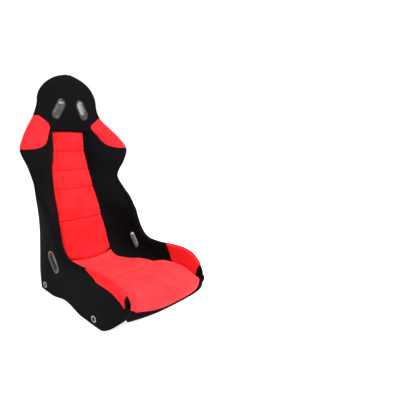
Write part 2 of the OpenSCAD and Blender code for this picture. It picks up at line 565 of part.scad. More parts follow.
// ---- Side pads ----
full_z = shoulder_low_z - 2 * pad_gap;
bolster_rows = concat(
    [for (t = concat(steps(joint_t + 0.002, 1, 2), steps(1.14, 2, 6),
        [for (z = concat(steps(285, 395, 4), steps(430, full_z, 3))) t_back(z)]))
        [t, 0, split_q, true]],
    [for (z = steps(full_z + 0.1, head_low_z - 1, 3)) [t_back(z), 0, shoulder_q(z) - 0.01, false]]);
shoulder_rows = [for (z = steps(shoulder_low_z, neck_z - 1, 7))
    [t_back(z), shoulder_q(z), shoulder_q(z), true]];
thigh_rows = [for (y = steps(thigh_front_y, thigh_back_y, 7)) [t_pan(y), 0, split_q, true]];
module bolster() {
    color("#17171a") centred() difference() {
        side_pad(bolster_rows, 4);
        at_lap(true) {
            slot_cut(tunnel_l, tunnel_w, -260, -150);
            slot_cut(pocket_l, pocket_w, -lap_inner_x, -100);
        }
    }
}
module left_bolster() both(true) bolster();
module right_bolster() both(false) bolster();
module left_shoulder_pad() both(true) shoulder_pad();
module right_shoulder_pad() both(false) shoulder_pad();
module shoulder_pad() {
    color("#e8363c") centred() side_pad(shoulder_rows, 0);
}
module left_thigh_pad() both(true) thigh_pad();
module right_thigh_pad() both(false) thigh_pad();
module thigh_pad() {
    color("#e8363c") centred() side_pad(thigh_rows, 4);
}

// ---- Bezels ----
module shoulder_front_bezel(left) {
    centred() at_shoulder(left) translate([0, 0, -shoulder_front_y]) bezel(shoulder_collar);
}
module shoulder_rear_bezel(left) {
    centred() at_shoulder(left) translate([0, 0, -shoulder_rear_y]) mirror([0, 0, 1]) bezel(shoulder_collar);
}
module lap_inner_bezel(left) {
    centred() at_lap(left) translate([0, 0, -lap_inner_x]) bezel(lap_collar);
}
module lap_outer_bezel(left) {
    centred() at_lap(left) translate([0, 0, -lap_outer_x]) mirror([0, 0, 1]) bezel(lap_collar);
}

// ---- Side mounts ----
plate_t = 3;                    // thickness of the steel plate inside a side wall
plate_top_z = 40;               // top edge of the plate
bush_flange_t = 1.2;            // washer's thickness outside the velour
wall_x = base_w / 2;
module mount_plate() {
    color("silver") centred() translate([wall_x - laminate_in - plate_t, bolt_mid_y, 0])
        rotate([90, 0, 90]) linear_extrude(plate_t) difference() {
            union() {
                translate([-bolt_pitch / 2, arch_h + 2]) square([bolt_pitch, plate_top_z - arch_h - 2]);
                for (s = [-1, 1]) translate([s * bolt_pitch / 2, bolt_z]) circle(d = bush_d + 14);
            }
            for (s = [-1, 1]) translate([s * bolt_pitch / 2, bolt_z]) circle(d = bush_d + 2 * fit_gap);
        }
}
module mount_bushes() {
    color("silver") centred() translate([wall_x - bush_l, 0, 0]) at_bolts() difference() {
        cylinder(d = bush_d, h = bush_l);
        translate([0, 0, -1]) cylinder(d = thread_hole_d, h = bush_l + 2);
    }
}
module bolt_washers() {
    color("gainsboro") centred() translate([wall_x, 0, 0]) at_bolts() difference() {
        cylinder(d = bush_d + 7, h = bush_flange_t);
        translate([0, 0, -1]) cylinder(d = bush_d - 2, h = bush_flange_t + 2);
    }
}

seat_shell();
outer_skin();
seat_pan();
back_foam();
headrest_pad();
left_bolster();
right_bolster();
left_shoulder_pad();
right_shoulder_pad();
left_thigh_pad();
right_thigh_pad();
backrest_panel();
seat_cushion();
front_edge_roll();
cushion_hook_strips();
shoulder_front_bezel(true);  // left_shoulder_front_bezel
shoulder_front_bezel(false);  // right_shoulder_front_bezel
shoulder_rear_bezel(true);  // left_shoulder_rear_bezel
shoulder_rear_bezel(false);  // right_shoulder_rear_bezel
lap_inner_bezel(true);  // left_lap_inner_bezel
lap_inner_bezel(false);  // right_lap_inner_bezel
lap_outer_bezel(true);  // left_lap_outer_bezel
lap_outer_bezel(false);  // right_lap_outer_bezel
both(true) mount_plate();  // left_mount_plate
both(false) mount_plate();  // right_mount_plate
both(true) mount_bushes();  // left_mount_bushes
both(false) mount_bushes();  // right_mount_bushes
both(true) bolt_washers();  // left_bolt_washers
both(false) bolt_washers();  // right_bolt_washers
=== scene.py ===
"""Fixed-back racing bucket seat: velour pads, a smooth outer skin, moulded slot bezels and mounts.

Lengths in the tables are millimetres, as in the part's source, and meshes are written in metres.
"""

import math

import bpy
import numpy as np
from mathutils import Matrix, Vector


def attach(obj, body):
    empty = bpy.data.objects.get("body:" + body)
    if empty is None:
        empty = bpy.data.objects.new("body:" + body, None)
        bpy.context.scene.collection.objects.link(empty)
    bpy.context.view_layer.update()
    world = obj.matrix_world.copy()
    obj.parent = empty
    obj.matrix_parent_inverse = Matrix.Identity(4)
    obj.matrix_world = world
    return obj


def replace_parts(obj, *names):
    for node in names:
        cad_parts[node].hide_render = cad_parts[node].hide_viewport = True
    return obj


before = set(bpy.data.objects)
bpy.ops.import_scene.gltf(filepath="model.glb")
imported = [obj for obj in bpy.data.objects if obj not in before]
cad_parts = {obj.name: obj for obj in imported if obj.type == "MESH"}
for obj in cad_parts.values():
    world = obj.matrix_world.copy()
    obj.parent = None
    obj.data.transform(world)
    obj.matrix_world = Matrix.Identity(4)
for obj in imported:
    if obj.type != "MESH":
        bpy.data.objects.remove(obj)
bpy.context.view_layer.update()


# ---------------------------------------------------------------- camera
AZIMUTH, ELEVATION, ROLL = (math.radians(a) for a in (-44.737, 13.098, 3.288))
CAMERA_AT = Vector((-0.820, -0.9166, 0.631))
FOCAL_PX, IMAGE_PX, SENSOR_MM = 340.467, 400, 36


def linked(name, data):
    """A new object that holds the data, in the scene."""
    made = bpy.data.objects.new(name, data)
    bpy.context.collection.objects.link(made)
    return made


def camera_axes():
    """Right, up and back unit vectors from azimuth, elevation and roll about the view line."""
    back = Vector((math.sin(AZIMUTH) * math.cos(ELEVATION), -math.cos(AZIMUTH) * math.cos(ELEVATION),
                   math.sin(ELEVATION)))
    right = Vector((math.cos(AZIMUTH), math.sin(AZIMUTH), 0))
    up = back.cross(right)
    return (right * math.cos(ROLL) + up * math.sin(ROLL), up * math.cos(ROLL) - right * math.sin(ROLL), back)


camera = linked("camera", bpy.data.cameras.new("camera"))
right, up, back = camera_axes()
camera.matrix_world = Matrix.Translation(CAMERA_AT) @ Matrix((right, up, back)).transposed().to_4x4()
camera.data.sensor_width = SENSOR_MM
camera.data.lens = FOCAL_PX / IMAGE_PX * SENSOR_MM
camera.data.shift_x = 0.175
camera.data.clip_start = 0.05
bpy.context.scene.camera = camera

# ---------------------------------------------------------------- tables of the shape
SEAT_H, BASE_W, WAIST_W, SHOULDER_W, NECK_W = 799, 434, 416, 512, 320
WAIST_Z, SHOULDER_Z, NECK_Z = 391, 507, 632
PANEL_TOP_W, PANEL_LOW_W, PANEL_T, CUSHION_T, ROLL_R = 158, 218, 24, 42, 14
SHELL_T, SKIN_T, PAN_T = 5, 2.5, 4
SLOT_L, SLOT_W, SLOT_X, SLOT_Z, SLOT_LEAN = 70, 25, 56, 661, 30
LAP_Y, LAP_Z, LAP_LEAN = 71, 129, 40
PAD_GAP, GLUE_GAP, FIT_GAP = 0.4, 0.6, 0.3
FRONT_Y, PIVOT_Y, PIVOT_Z, CENTRE_Y = -285, -10, 260, 9.6
FRONT_TUCK, TUCK_Y, EDGE_GAP = 20, -180, 1
BOLT_YS, BOLT_Z, BOLT_CUT_R = (-168, 122), 22, 8.3
GUSSET_FRONT_Y, GUSSET_BACK_Y, ROLL_HALF_W = -293, -232, 188.5
SKIN_RIM_Y, EDGE_END_Y = -276, -258
LAMINATE_IN = SKIN_T + SHELL_T
DOME_Z, DOME_TOP, DOME_BOW, DOME_POWER = NECK_Z + 55, 795.5, 1.85, 0.55
# height: half width, where the rear corner starts, rear face, two exponents
OUTER = np.array([
    [0, BASE_W / 2, 132, 206, 2, 5], [60, BASE_W / 2, 130, 229, 2, 5],
    [LAP_Z, BASE_W / 2 - 3, 118, 246, 2.1, 5], [200, BASE_W / 2 - 4, 118, 261, 2, 4.5],
    [PIVOT_Z, BASE_W / 2 - 4, 124, 279, 2, 4], [WAIST_Z - 51, WAIST_W / 2 + 5, 174, 304, 1.8, 3],
    [WAIST_Z, WAIST_W / 2, 222, 320, 1.5, 2.3],
    [WAIST_Z + 59, SHOULDER_W / 2 - 23, 219, 332, 1.35, 1.7],
    [SHOULDER_Z, SHOULDER_W / 2, 228, 339, 1.3, 1.5],
    [SHOULDER_Z + 45, SHOULDER_W / 2 - 25, 253, 341, 1.5, 1.7],
    [NECK_Z - 47, NECK_W / 2 + 42, 277, 341, 1.7, 2.1], [NECK_Z, NECK_W / 2, 305, 341, 2, 2.5],
    [NECK_Z + 55, NECK_W / 2 - 18, 311, 340, 2, 2.5], [SEAT_H, NECK_W / 2 - 20, 324, 338, 2, 2.5]])
RIM_PAN = np.array([[-285, 117], [-270, 138], [-252, 153], [-232, 163], [-205, 169], [-165, 171],
                    [-110, 166], [-80, 161], [-45, 158], [PIVOT_Y, 158]])
RIM_BEND = np.array([[0, 102], [15, 98], [30, 92], [45, 87], [60, 85], [75, 87], [90, 94]])
RIM_BACK = np.array([[PIVOT_Z, 84], [308, 128], [WAIST_Z - 51, 167], [WAIST_Z - 21, 198], [WAIST_Z, 210],
                     [WAIST_Z + 29, 210], [WAIST_Z + 59, 204], [SHOULDER_Z - 27, 207], [SHOULDER_Z, 213],
                     [SHOULDER_Z + 45, 236], [NECK_Z - 47, 260], [NECK_Z, 291], [NECK_Z + 55, 300],
                     [NECK_Z + 96, 303], [NECK_Z + 135, 306], [SEAT_H, 314]])
SEAT_PAN = np.array([[-330, 80], [-310, 87], [-290, 94], [-240, 102], [-180, 104], [-120, 99], [-76, 92],
                     [PIVOT_Y, 84]])
CUSHION_SHARE = np.array([[-320, 0.12], [-300, 0.17], [-280, 0.36], [-240, 0.76], [-190, 1], [PIVOT_Y, 1]])
CROWN = np.array([[-298, 5], [-270, 9], [-230, 13], [-150, 13], [-105, 9], [-76, 5], [PIVOT_Y, 5]])
SEAT_BEND = np.array([[0, 176], [15, 190], [30, 213], [45, 216], [60, 206], [75, 207], [90, 221]])
SEAT_BACK = np.array([[PIVOT_Z, 211], [342, 250], [417, 278], [494, 297], [570, 308], [SEAT_H, 315]])
FLOOR_W = np.array([[0, 176], [0.5, 170], [0.82, 164], [1, 150], [1.17, 124], [1.34, 110],
                    [1.5, PANEL_LOW_W / 2 + 3], [1.67, PANEL_LOW_W / 2 + 4], [1.83, PANEL_LOW_W / 2],
                    [2, PANEL_LOW_W / 2 - 3], [2.15, PANEL_LOW_W / 2 - 10], [2.29, PANEL_TOP_W / 2 + 12],
                    [2.43, PANEL_TOP_W / 2 + 1], [2.57, PANEL_TOP_W / 2]])
HOLLOW = np.array([[0, 0.8], [1, 1], [1.6, 1], [2.15, 0.5], [2.4, 0.1], [2.6, 0]])
LAP = np.array([[2.3, 12], [2.6, 8]])
ROLL_SHARE = np.array([[0, 0], [0.35, -0.25], [0.6, -0.3], [0.85, 0.25], [1, 0.6]])
HEAD = np.array([[NECK_Z - 57, 301], [NECK_Z - 22, 295], [SLOT_Z, 291], [NECK_Z + 98, 293],
                 [NECK_Z + 138, 299], [SEAT_H - 10, 309], [SEAT_H, 316]])
CHANNEL_Z = (492, 415, 341, 224)
PANEL_TOP_Z, HEAD_LOW_Z, SHOULDER_LOW_Z = 571, 574, 511
THIGH_FRONT_Y, THIGH_BACK_Y = -283, -112
THIGH_SEAM_Y, THIGH_SEAM_RUN = -260, 22.4
CUSHION_BACK_T, CUSHION_FRONT_Y, CUSHION_SEAM_Y = 1.44, -298, -76
# about how many millimetres of the sitting surface go with one step of t
MM_PER_T = 330
SHOULDER_Q = np.array([[SHOULDER_LOW_Z, 0.86], [SHOULDER_LOW_Z + 4, 0.74], [SHOULDER_LOW_Z + 12, 0.63],
                       [SHOULDER_LOW_Z + 28, 0.55], [SHOULDER_Z + 54, 0.5], [NECK_Z - 34, 0.44], [NECK_Z, 0.97]])
THIGH_LEAN, ROOT_D, SPLIT_Q, STRIP_T = 0.19, 4, 0.65, 3
WALL_FRONT = np.array([[-203, 0], [-221, 8], [-242, 23], [-261, 42], [-278, 60], [-290, 77], [-293, 88],
                       [-288, 97]])


# ---------------------------------------------------------------- curves and surfaces
def curve(rows, p, c=1):
    """Cubic Hermite curve through column c of the rows, with slopes from each row's neighbours."""
    p = np.clip(np.asarray(p, float), rows[0, 0], rows[-1, 0])
    x, y = rows[:, 0], rows[:, c]
    n = len(x) - 1
    lo, hi = np.maximum(np.arange(n + 1) - 1, 0), np.minimum(np.arange(n + 1) + 1, n)
    slope = (y[hi] - y[lo]) / (x[hi] - x[lo])
    i = np.clip(np.searchsorted(x, p, side="right") - 1, 0, n - 1)
    h = x[i + 1] - x[i]
    f = (p - x[i]) / h
    return (y[i] * (1 + 2 * f) * (1 - f) ** 2 + h * slope[i] * f * (1 - f) ** 2
            + y[i + 1] * f * f * (3 - 2 * f) - h * slope[i + 1] * f * f * (1 - f))


def lerp(a, b, f):
    """a at f = 0 and b at f = 1, on a straight line."""
    return a + (b - a) * f


def pillow(d, r):
    """0 at an edge and 1 from r inwards, on a quarter circle."""
    f = np.clip(1 - np.asarray(d, float) / r, 0, 1)
    return np.sqrt(1 - f * f)


def half_w(z, inset=0.0):
    """Half width of the outer surface at height z; above the dome's foot it closes as a dome."""
    f = np.clip((z - DOME_Z) / (DOME_TOP - inset - DOME_Z), 0, 0.99)
    dome = (curve(OUTER, DOME_Z) - inset) * (1 - f ** DOME_BOW) ** DOME_POWER
    return np.where(z < DOME_Z, curve(OUTER, z) - inset, dome)


def tuck(y):
    y = np.asarray(y, float)
    return np.where(y > TUCK_Y, 0, FRONT_TUCK * ((TUCK_Y - y) / (TUCK_Y - FRONT_Y)) ** 2)


def corner_of(z, inset):
    """Half width, start of the rear corner and rear face at height z of a surface set in by inset."""
    yc = curve(OUTER, z, 2)
    return half_w(z, inset), yc, np.maximum(curve(OUTER, z, 3) - inset, yc + 0.5)


def outer_x(y, z, inset=0.0):
    """Half width of the outer surface at a place and height: straight walls, then a rounded corner."""
    y, z = np.broadcast_arrays(np.asarray(y, float), np.asarray(z, float))
    w, yc, yr = corner_of(z, inset)
    f = np.clip((y - yc) / (yr - yc), 0, 1)
    bent = w * (1 - f ** curve(OUTER, z, 4)) ** (1 / curve(OUTER, z, 5))
    return np.where(y <= yc, w - tuck(y), bent)


def outer_y(x, z, inset=0.0):
    """Rear face of the outer surface at half width x and height z."""
    x, z = np.broadcast_arrays(np.asarray(x, float), np.asarray(z, float))
    w, yc, yr = corner_of(z, inset)
    f = np.clip(x / w, 0, 1)
    return yc + (yr - yc) * (1 - f ** curve(OUTER, z, 5)) ** (1 / curve(OUTER, z, 4))


def plane_point(t, r):
    """(y, z) at distance r on the fan's plane t: upright over the pan, turning, then level."""
    t, r = np.broadcast_arrays(np.asarray(t, float), np.asarray(r, float))
    a = np.clip(t - 1, 0, 1) * np.pi / 2
    y = np.where(t <= 1, lerp(FRONT_Y, PIVOT_Y, t), PIVOT_Y + r * np.sin(a))
    z = np.where(t <= 2, PIVOT_Z - r * np.cos(a), lerp(PIVOT_Z, SEAT_H, t - 2))
    return y, z


def place(t, x, r):
    y, z = plane_point(t, r)
    x, y, z = np.broadcast_arrays(np.asarray(x, float), y, z)
    return np.stack([x, y, z], -1)


def t_pan(y):
    """The plane that stands at y over the pan."""
    return (y - FRONT_Y) / (PIVOT_Y - FRONT_Y)


def t_back(z):
    z = np.asarray(z, float)
    return np.where(z < PIVOT_Z, 2 - (PIVOT_Z - z) / (PIVOT_Z - 224) * 0.111,
                    2 + (z - PIVOT_Z) / (SEAT_H - PIVOT_Z))


def by_plane(t, pan, bend, over_back):
    """A distance from the pivot on plane t, from heights, distances or places along the three runs."""
    t = np.asarray(t, float)
    y, z = lerp(FRONT_Y, PIVOT_Y, t), lerp(PIVOT_Z, SEAT_H, t - 2)
    return np.where(t <= 1, PIVOT_Z - curve(pan, y),
                    np.where(t <= 2, curve(bend, 90 * (t - 1)), curve(over_back, z) - PIVOT_Y))


def rim_r(t):
    return by_plane(t, RIM_PAN, RIM_BEND, RIM_BACK)


def seat_r(t):
    return by_plane(t, SEAT_PAN, SEAT_BEND, SEAT_BACK)


def floor_w(t):
    return curve(FLOOR_W, t)


def back_reach(t, x, inset):
    """How far the surface set in from the outer one lies along plane t at half width x, by halving."""
    t, x = np.broadcast_arrays(np.asarray(t, float), np.asarray(x, float))
    lo, hi = np.full(t.shape, 60.0), np.full(t.shape, 420.0)
    for _ in range(18):
        mid = (lo + hi) / 2
        y, z = plane_point(t, mid)
        inside = outer_x(y, z, inset) > x
        lo, hi = np.where(inside, mid, lo), np.where(inside, hi, mid)
    return lo


def pan_r(t):
    t = np.asarray(t, float)
    share = np.where(t < 1, curve(CUSHION_SHARE, lerp(FRONT_Y, PIVOT_Y, t)), 1)
    under = seat_r(t) + CUSHION_T * share + STRIP_T
    f = np.clip((t - 1.4) / 0.6, 0, 1)
    return lerp(under, back_reach(t, 0, LAMINATE_IN + PAN_T), f * f * (3 - 2 * f))


def rim_x(t, extra=0.0):
    y, z = plane_point(t, rim_r(t) + ROLL_R + extra)
    return outer_x(y, z)


def face_point(t, q):
    """(x, r) on a bolster's face; q is 0 at the flat middle and 1 at the rim's roll."""
    hollow, side, rise = curve(HOLLOW, t), 1 - np.cos(np.pi / 2 * q), np.sin(np.pi / 2 * q)
    x_end, r_end = rim_x(t) - ROLL_R * (1 + hollow), rim_r(t) + ROLL_R * hollow
    return (lerp(floor_w(t) + PAD_GAP, x_end, lerp(side, rise, hollow)),
            lerp(seat_r(t) + ROOT_D, r_end, lerp(rise, side, hollow)))


JOINT_T = t_pan(THIGH_BACK_Y)


def lean_t(t, share):
    """The joint between a thigh pad and its bolster leans forward towards its root and its lap."""
    ramp = np.where(t < JOINT_T, np.maximum(t, 0) / JOINT_T, np.maximum(1 - t, 0) / (1 - JOINT_T))
    return t - THIGH_LEAN * share * ramp


def lap_l(t):
    """How far a pad laps over the outside of the rim."""
    return curve(LAP, t)


def bowed(t, u):
    """The joint between cushion and panel bows forward in the middle, and both pads follow it."""
    return t - 0.055 * (1 - u * u) * np.exp(-((t - CUSHION_BACK_T) / 0.22) ** 2)


def hidden_r(t, x):
    t, x = np.broadcast_arrays(np.asarray(t, float), np.asarray(x, float))
    deep = back_reach(t, x, LAMINATE_IN + GLUE_GAP)
    deep = np.minimum(deep, np.where(t < 2, pan_r(t) - GLUE_GAP, 1000))
    return np.minimum(deep, np.where(t < 0.15, PIVOT_Z - lerp(86, 70, np.maximum(t, 0) / 0.15), 1000))


def resample(points, n):
    """n + 1 points at even steps of length along a polyline."""
    step = np.r_[0, np.cumsum(np.linalg.norm(np.diff(points, axis=0), axis=1))]
    at = np.linspace(0, step[-1], n + 1)
    return np.stack([np.interp(at, step, points[:, k]) for k in range(3)], 1)


def pad_section(t, q0, qc, over, n_in, n_out):
    """Front and hidden rows of one section: face to the cut place, then rim, roll and lap, or a cut."""
    def face(q):
        tq = lean_t(t, 1 - q)
        return place(tq, *face_point(tq, q))

    tb = lean_t(t, 1.0)
    xc, r1 = face_point(tb, qc)[0], rim_r(tb) + ROLL_R + lap_l(tb)
    front = [resample(face(np.linspace(q0, qc, 24)), n_in)] if n_in else [face(np.array([qc]))]
    hidden = [place(tb, np.linspace(face_point(tb, q0)[0], xc, n_in + 1),
                    hidden_r(tb, np.linspace(face_point(tb, q0)[0], xc, n_in + 1)))]
    if over:
        a = np.linspace(-np.pi / 2 * curve(HOLLOW, t), np.pi / 2, 16)[1:]
        tr = lean_t(t, curve(ROLL_SHARE, np.linspace(0, 1, 16)[1:]))
        roll = place(tr, rim_x(tr) - ROLL_R * (1 - np.sin(a)), rim_r(tr) + ROLL_R * (1 - np.cos(a)))
        tr = lean_t(t, np.linspace(ROLL_SHARE[-1, 1], 1, 5)[1:])
        lap_y, lap_z = plane_point(tr, rim_r(tr) + ROLL_R + lap_l(tr) * np.linspace(0, 1, 5)[1:])
        lap = np.stack([outer_x(lap_y, lap_z), lap_y, lap_z], 1)
        line = np.concatenate([face(np.linspace(qc, 1, 24)), roll, lap])
        front.append(resample(line, n_out)[1:])
        x1 = rim_x(tb, lap_l(tb)) - LAMINATE_IN - GLUE_GAP
        xs = np.linspace(xc, x1 - 0.5, 24)
        line = np.concatenate([place(tb, xs, hidden_r(tb, xs)), place(tb, np.array([x1]), np.array([r1]))])
        hidden.append(resample(line, n_out)[1:])
    else:
        x, r = face_point(t, qc)
        deep = hidden_r(t, x)
        s = np.linspace(0, 0.45, n_out + 1)[1:]
        front.append(place(t, x, lerp(r, deep, s)))
        hidden.append(place(t, x, lerp(r, deep, 1 - s)))
    return np.concatenate(front), np.concatenate(hidden)


# ---------------------------------------------------------------- meshes
def grid_quads(k, n, base=0):
    """Quads of a k by n grid of points, as one array."""
    a = base + (np.arange(k - 1)[:, None] * n + np.arange(n - 1)[None, :])
    return np.stack([a, a + 1, a + n + 1, a + n], -1).reshape(-1, 4)


def volume_of(points, quads):
    """Six times the volume that the quads enclose, negative where they face inwards."""
    v = points[quads]
    return np.einsum("ij,ij->", v[:, 0], np.cross(v[:, 1], v[:, 2]) + np.cross(v[:, 2], v[:, 3]))


def closed_mesh(front, hidden):
    """Points and quads of the closed solid between two grids, with its faces turned outward."""
    k, n = front.shape[:2]
    points = np.concatenate([front.reshape(-1, 3), hidden.reshape(-1, 3)])
    half = k * n
    rows, cols = np.arange(k - 1), np.arange(n - 1)
    side = np.stack([rows * n, (rows + 1) * n, half + (rows + 1) * n, half + rows * n], 1)
    last = (k - 1) * n
    cap = np.stack([cols, half + cols, half + cols + 1, cols + 1], 1)
    quads = np.concatenate([grid_quads(k, n), grid_quads(k, n, half)[:, ::-1], side,
                            side[:, ::-1] + n - 1, cap, cap[:, ::-1] + last])
    return points, quads if volume_of(points, quads) > 0 else quads[:, ::-1]


def tube_quads(n, m, joined=True):
    """Quads of an m-point section carried to n places, joined end to end or open."""
    i, j = np.meshgrid(np.arange(n if joined else n - 1), np.arange(m), indexing="ij")
    here, ahead, up_one = i * m, (i + 1) % n * m, (j + 1) % m
    return np.stack([here + j, here + up_one, ahead + up_one, ahead + j], -1).reshape(-1, 4)


def new_object(name, points, faces):
    """One object at the origin from points in millimetres, moved to the part's centre."""
    mesh = bpy.data.meshes.new(name)
    mesh.from_pydata(((np.asarray(points, float) - [0, CENTRE_Y, 0]) / 1000).tolist(), [],
                     [tuple(int(i) for i in f) for f in faces])
    return linked(name, mesh)


def new_piece(name, points, faces, material, flip_x=False, sharp=None):
    """A visible piece. Edges that bend by more than sharp degrees are shaded as edges."""
    if flip_x:
        points, faces = points * [-1, 1, 1], faces[:, ::-1]
    piece = new_object(name, points, faces)
    piece.data.validate()
    piece.data.polygons.foreach_set("use_smooth", [True] * len(piece.data.polygons))
    if sharp:
        piece.data.set_sharp_from_angle(angle=math.radians(sharp))
    piece.data.materials.append(material)
    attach(piece, "root")
    return piece


def normals_of(front, hidden):
    """Unit normals of a grid of points, pointing away from its hidden side."""
    n = np.cross(np.gradient(front, axis=0), np.gradient(front, axis=1))
    n /= np.maximum(np.linalg.norm(n, axis=2, keepdims=True), 1e-9)
    outward = np.sign(np.einsum("ijk,ijk->ij", n, front - hidden).mean())
    return n * outward


def edge_distance(front, edges):
    """Length along the grid from each point to the nearest of the named edges."""
    along = np.r_[np.zeros((1, front.shape[1])), np.cumsum(np.linalg.norm(np.diff(front, axis=0), axis=2), 0)]
    across = np.c_[np.zeros(front.shape[0]), np.cumsum(np.linalg.norm(np.diff(front, axis=1), axis=2), 1)]
    far = np.full(front.shape[:2], 1e3)
    for edge in edges:
        far = np.minimum(far, {"start": along, "end": along[-1:] - along, "low": across,
                               "high": across[:, -1:] - across}[edge])
    return far


def sewn(front, hidden, edges, depth=3.5, width=11):
    """Draws a padded face in along its sewn edges, on a quarter circle."""
    off = depth * (1 - pillow(edge_distance(front, edges), width))
    return front - normals_of(front, hidden) * off[..., None]


# ---------------------------------------------------------------- materials
def srgb(code):
    """Linear red, green, blue and 1 from an sRGB hex code."""
    c = np.array([int(code[i:i + 2], 16) / 255 for i in (1, 3, 5)])
    return (*np.where(c <= 0.04045, c / 12.92, ((c + 0.055) / 1.055) ** 2.4).tolist(), 1)


def add_node(tree, kind, settings=None, links=None):
    """Adds one shader node, sets its properties and inputs, and links sockets, or the first outputs
    of nodes, to it."""
    made = tree.nodes.new("ShaderNode" + kind)
    for key, value in (settings or {}).items():
        if isinstance(key, str) and hasattr(made, key):
            setattr(made, key, value)
        else:
            made.inputs[key].default_value = value
    for key, source in (links or {}).items():
        tree.links.new(source.outputs[0] if isinstance(source, bpy.types.Node) else source, made.inputs[key])
    return made


def new_material(name):
    """A material with an empty tree, its Object coordinates and its output."""
    made = bpy.data.materials.new(name)
    made.use_nodes = True
    made.node_tree.nodes.clear()
    place_of = add_node(made.node_tree, "TexCoord").outputs["Object"]
    return made, made.node_tree, place_of


def surface(tree, settings, colour, **links):
    """The principled surface, from a colour mix and the nodes that drive its other inputs."""
    shader = add_node(tree, "BsdfPrincipled", settings, {"Base Color": colour.outputs[2], **links})
    add_node(tree, "OutputMaterial", None, {"Surface": shader})


def velour(name, deep, lit, sheen, sheen_tint):
    """Polyester velour, short-pile knitted: matt, with a soft light edge from its pile and a nap
    that lies in patches. The 0.35 mm pile is drawn at 1.1 mm so that it shows."""
    made, tree, at = new_material(name)
    pile = add_node(tree, "TexNoise", {"Scale": 900, "Detail": 2, "Roughness": 0.6}, {"Vector": at})
    tuft = add_node(tree, "TexVoronoi", {"Scale": 620, "Randomness": 1}, {"Vector": at})
    nap = add_node(tree, "TexNoise", {"Scale": 17, "Detail": 3, "Roughness": 0.55, "Distortion": 0.6}, {"Vector": at})
    patch = add_node(tree, "MapRange", {"From Min": 0.32, "From Max": 0.68}, {"Value": nap})
    grain = add_node(tree, "MapRange", {"From Min": 0.25, "From Max": 0.75}, {"Value": pile})
    half = add_node(tree, "Math", {"operation": "MULTIPLY", 1: 0.45}, {0: patch})
    share = add_node(tree, "Math", {"operation": "MULTIPLY_ADD", 1: 0.55}, {0: grain, 2: half})
    colour = add_node(tree, "Mix", {"data_type": "RGBA", 6: srgb(deep), 7: srgb(lit)}, {0: share})
    rough = add_node(tree, "MapRange", {"To Min": 0.82, "To Max": 0.98}, {"Value": patch})
    low = add_node(tree, "Bump", {"Strength": 0.35, "Distance": 0.0006}, {"Height": tuft})
    fine = add_node(tree, "Bump", {"Strength": 0.3, "Distance": 0.0005}, {"Height": pile, "Normal": low})
    surface(tree, {"Sheen Weight": sheen, "Sheen Roughness": 0.42, "Sheen Tint": srgb(sheen_tint),
                   "Specular IOR Level": 0.06}, colour, Roughness=rough, Normal=fine)
    return made


def glass_laminate():
    """Hand-laid glass fibre in polyester resin: a rough satin inner face with the mat's strands."""
    made, tree, at = new_material("glass_fibre_laminate")
    strand = add_node(tree, "TexWave", {"Scale": 160, "Distortion": 9, "Detail": 3, "Detail Scale": 1.5},
                      {"Vector": at})
    cloud = add_node(tree, "TexNoise", {"Scale": 22, "Detail": 4}, {"Vector": at})
    colour = add_node(tree, "Mix", {"data_type": "RGBA", 6: srgb("#4b4a3c"), 7: srgb("#7d7a63")}, {0: cloud})
    rough = add_node(tree, "MapRange", {"To Min": 0.38, "To Max": 0.7}, {"Value": strand.outputs["Fac"]})
    bump = add_node(tree, "Bump", {"Strength": 0.4, "Distance": 0.0005}, {"Height": strand.outputs["Fac"]})
    surface(tree, {"IOR": 1.55}, colour, Roughness=rough, Normal=bump)
    return made


def moulded_plastic():
    """Injection-moulded nylon bezel in gunmetal grey: fine spark texture, satin gloss."""
    made, tree, at = new_material("moulded_nylon_gunmetal")
    spark = add_node(tree, "TexNoise", {"Scale": 1400, "Detail": 2}, {"Vector": at})
    cloud = add_node(tree, "TexNoise", {"Scale": 45, "Detail": 3}, {"Vector": at})
    colour = add_node(tree, "Mix", {"data_type": "RGBA", 6: srgb("#373734"), 7: srgb("#484844")}, {0: cloud})
    rough = add_node(tree, "MapRange", {"To Min": 0.2, "To Max": 0.34}, {"Value": cloud})
    bump = add_node(tree, "Bump", {"Strength": 0.04, "Distance": 0.0001}, {"Height": spark})
    surface(tree, {"Metallic": 0.4, "IOR": 1.5}, colour, Roughness=rough, Normal=bump)
    return made


def turned_steel(name, low, high, rough_low, rough_high):
    """Plated or treated metal: its gloss comes from how fine its finish is, with the fine marks and
    stains that turning and plating leave."""
    made, tree, at = new_material(name)
    lines = add_node(tree, "TexNoise", {"Scale": 700, "Detail": 3, "Roughness": 0.7}, {"Vector": at})
    stain = add_node(tree, "TexNoise", {"Scale": 60, "Detail": 4}, {"Vector": at})
    colour = add_node(tree, "Mix", {"data_type": "RGBA", 6: srgb(low), 7: srgb(high)}, {0: stain})
    rough = add_node(tree, "MapRange", {"To Min": rough_low, "To Max": rough_high}, {"Value": lines})
    bump = add_node(tree, "Bump", {"Strength": 0.1, "Distance": 0.0001}, {"Height": lines})
    surface(tree, {"Metallic": 1.0}, colour, Roughness=rough, Normal=bump)
    return made


def open_foam():
    """Open-cell polyurethane foam: pale, matt, with cells of about 1.5 mm."""
    made, tree, at = new_material("polyurethane_foam")
    cells = add_node(tree, "TexVoronoi", {"Scale": 650}, {"Vector": at})
    cloud = add_node(tree, "TexNoise", {"Scale": 20, "Detail": 3}, {"Vector": at})
    colour = add_node(tree, "Mix", {"data_type": "RGBA", 6: srgb("#b9ad82"), 7: srgb("#d8cda4")}, {0: cloud})
    bump = add_node(tree, "Bump", {"Strength": 0.6, "Distance": 0.0008}, {"Height": cells})
    surface(tree, {"Roughness": 0.95, "Specular IOR Level": 0.1}, colour, Normal=bump)
    return made


# the red covers of the panel, the shoulders and the thighs
RED = velour("velour_red", "#d81218", "#f72d33", 0.27, "#ff8078")
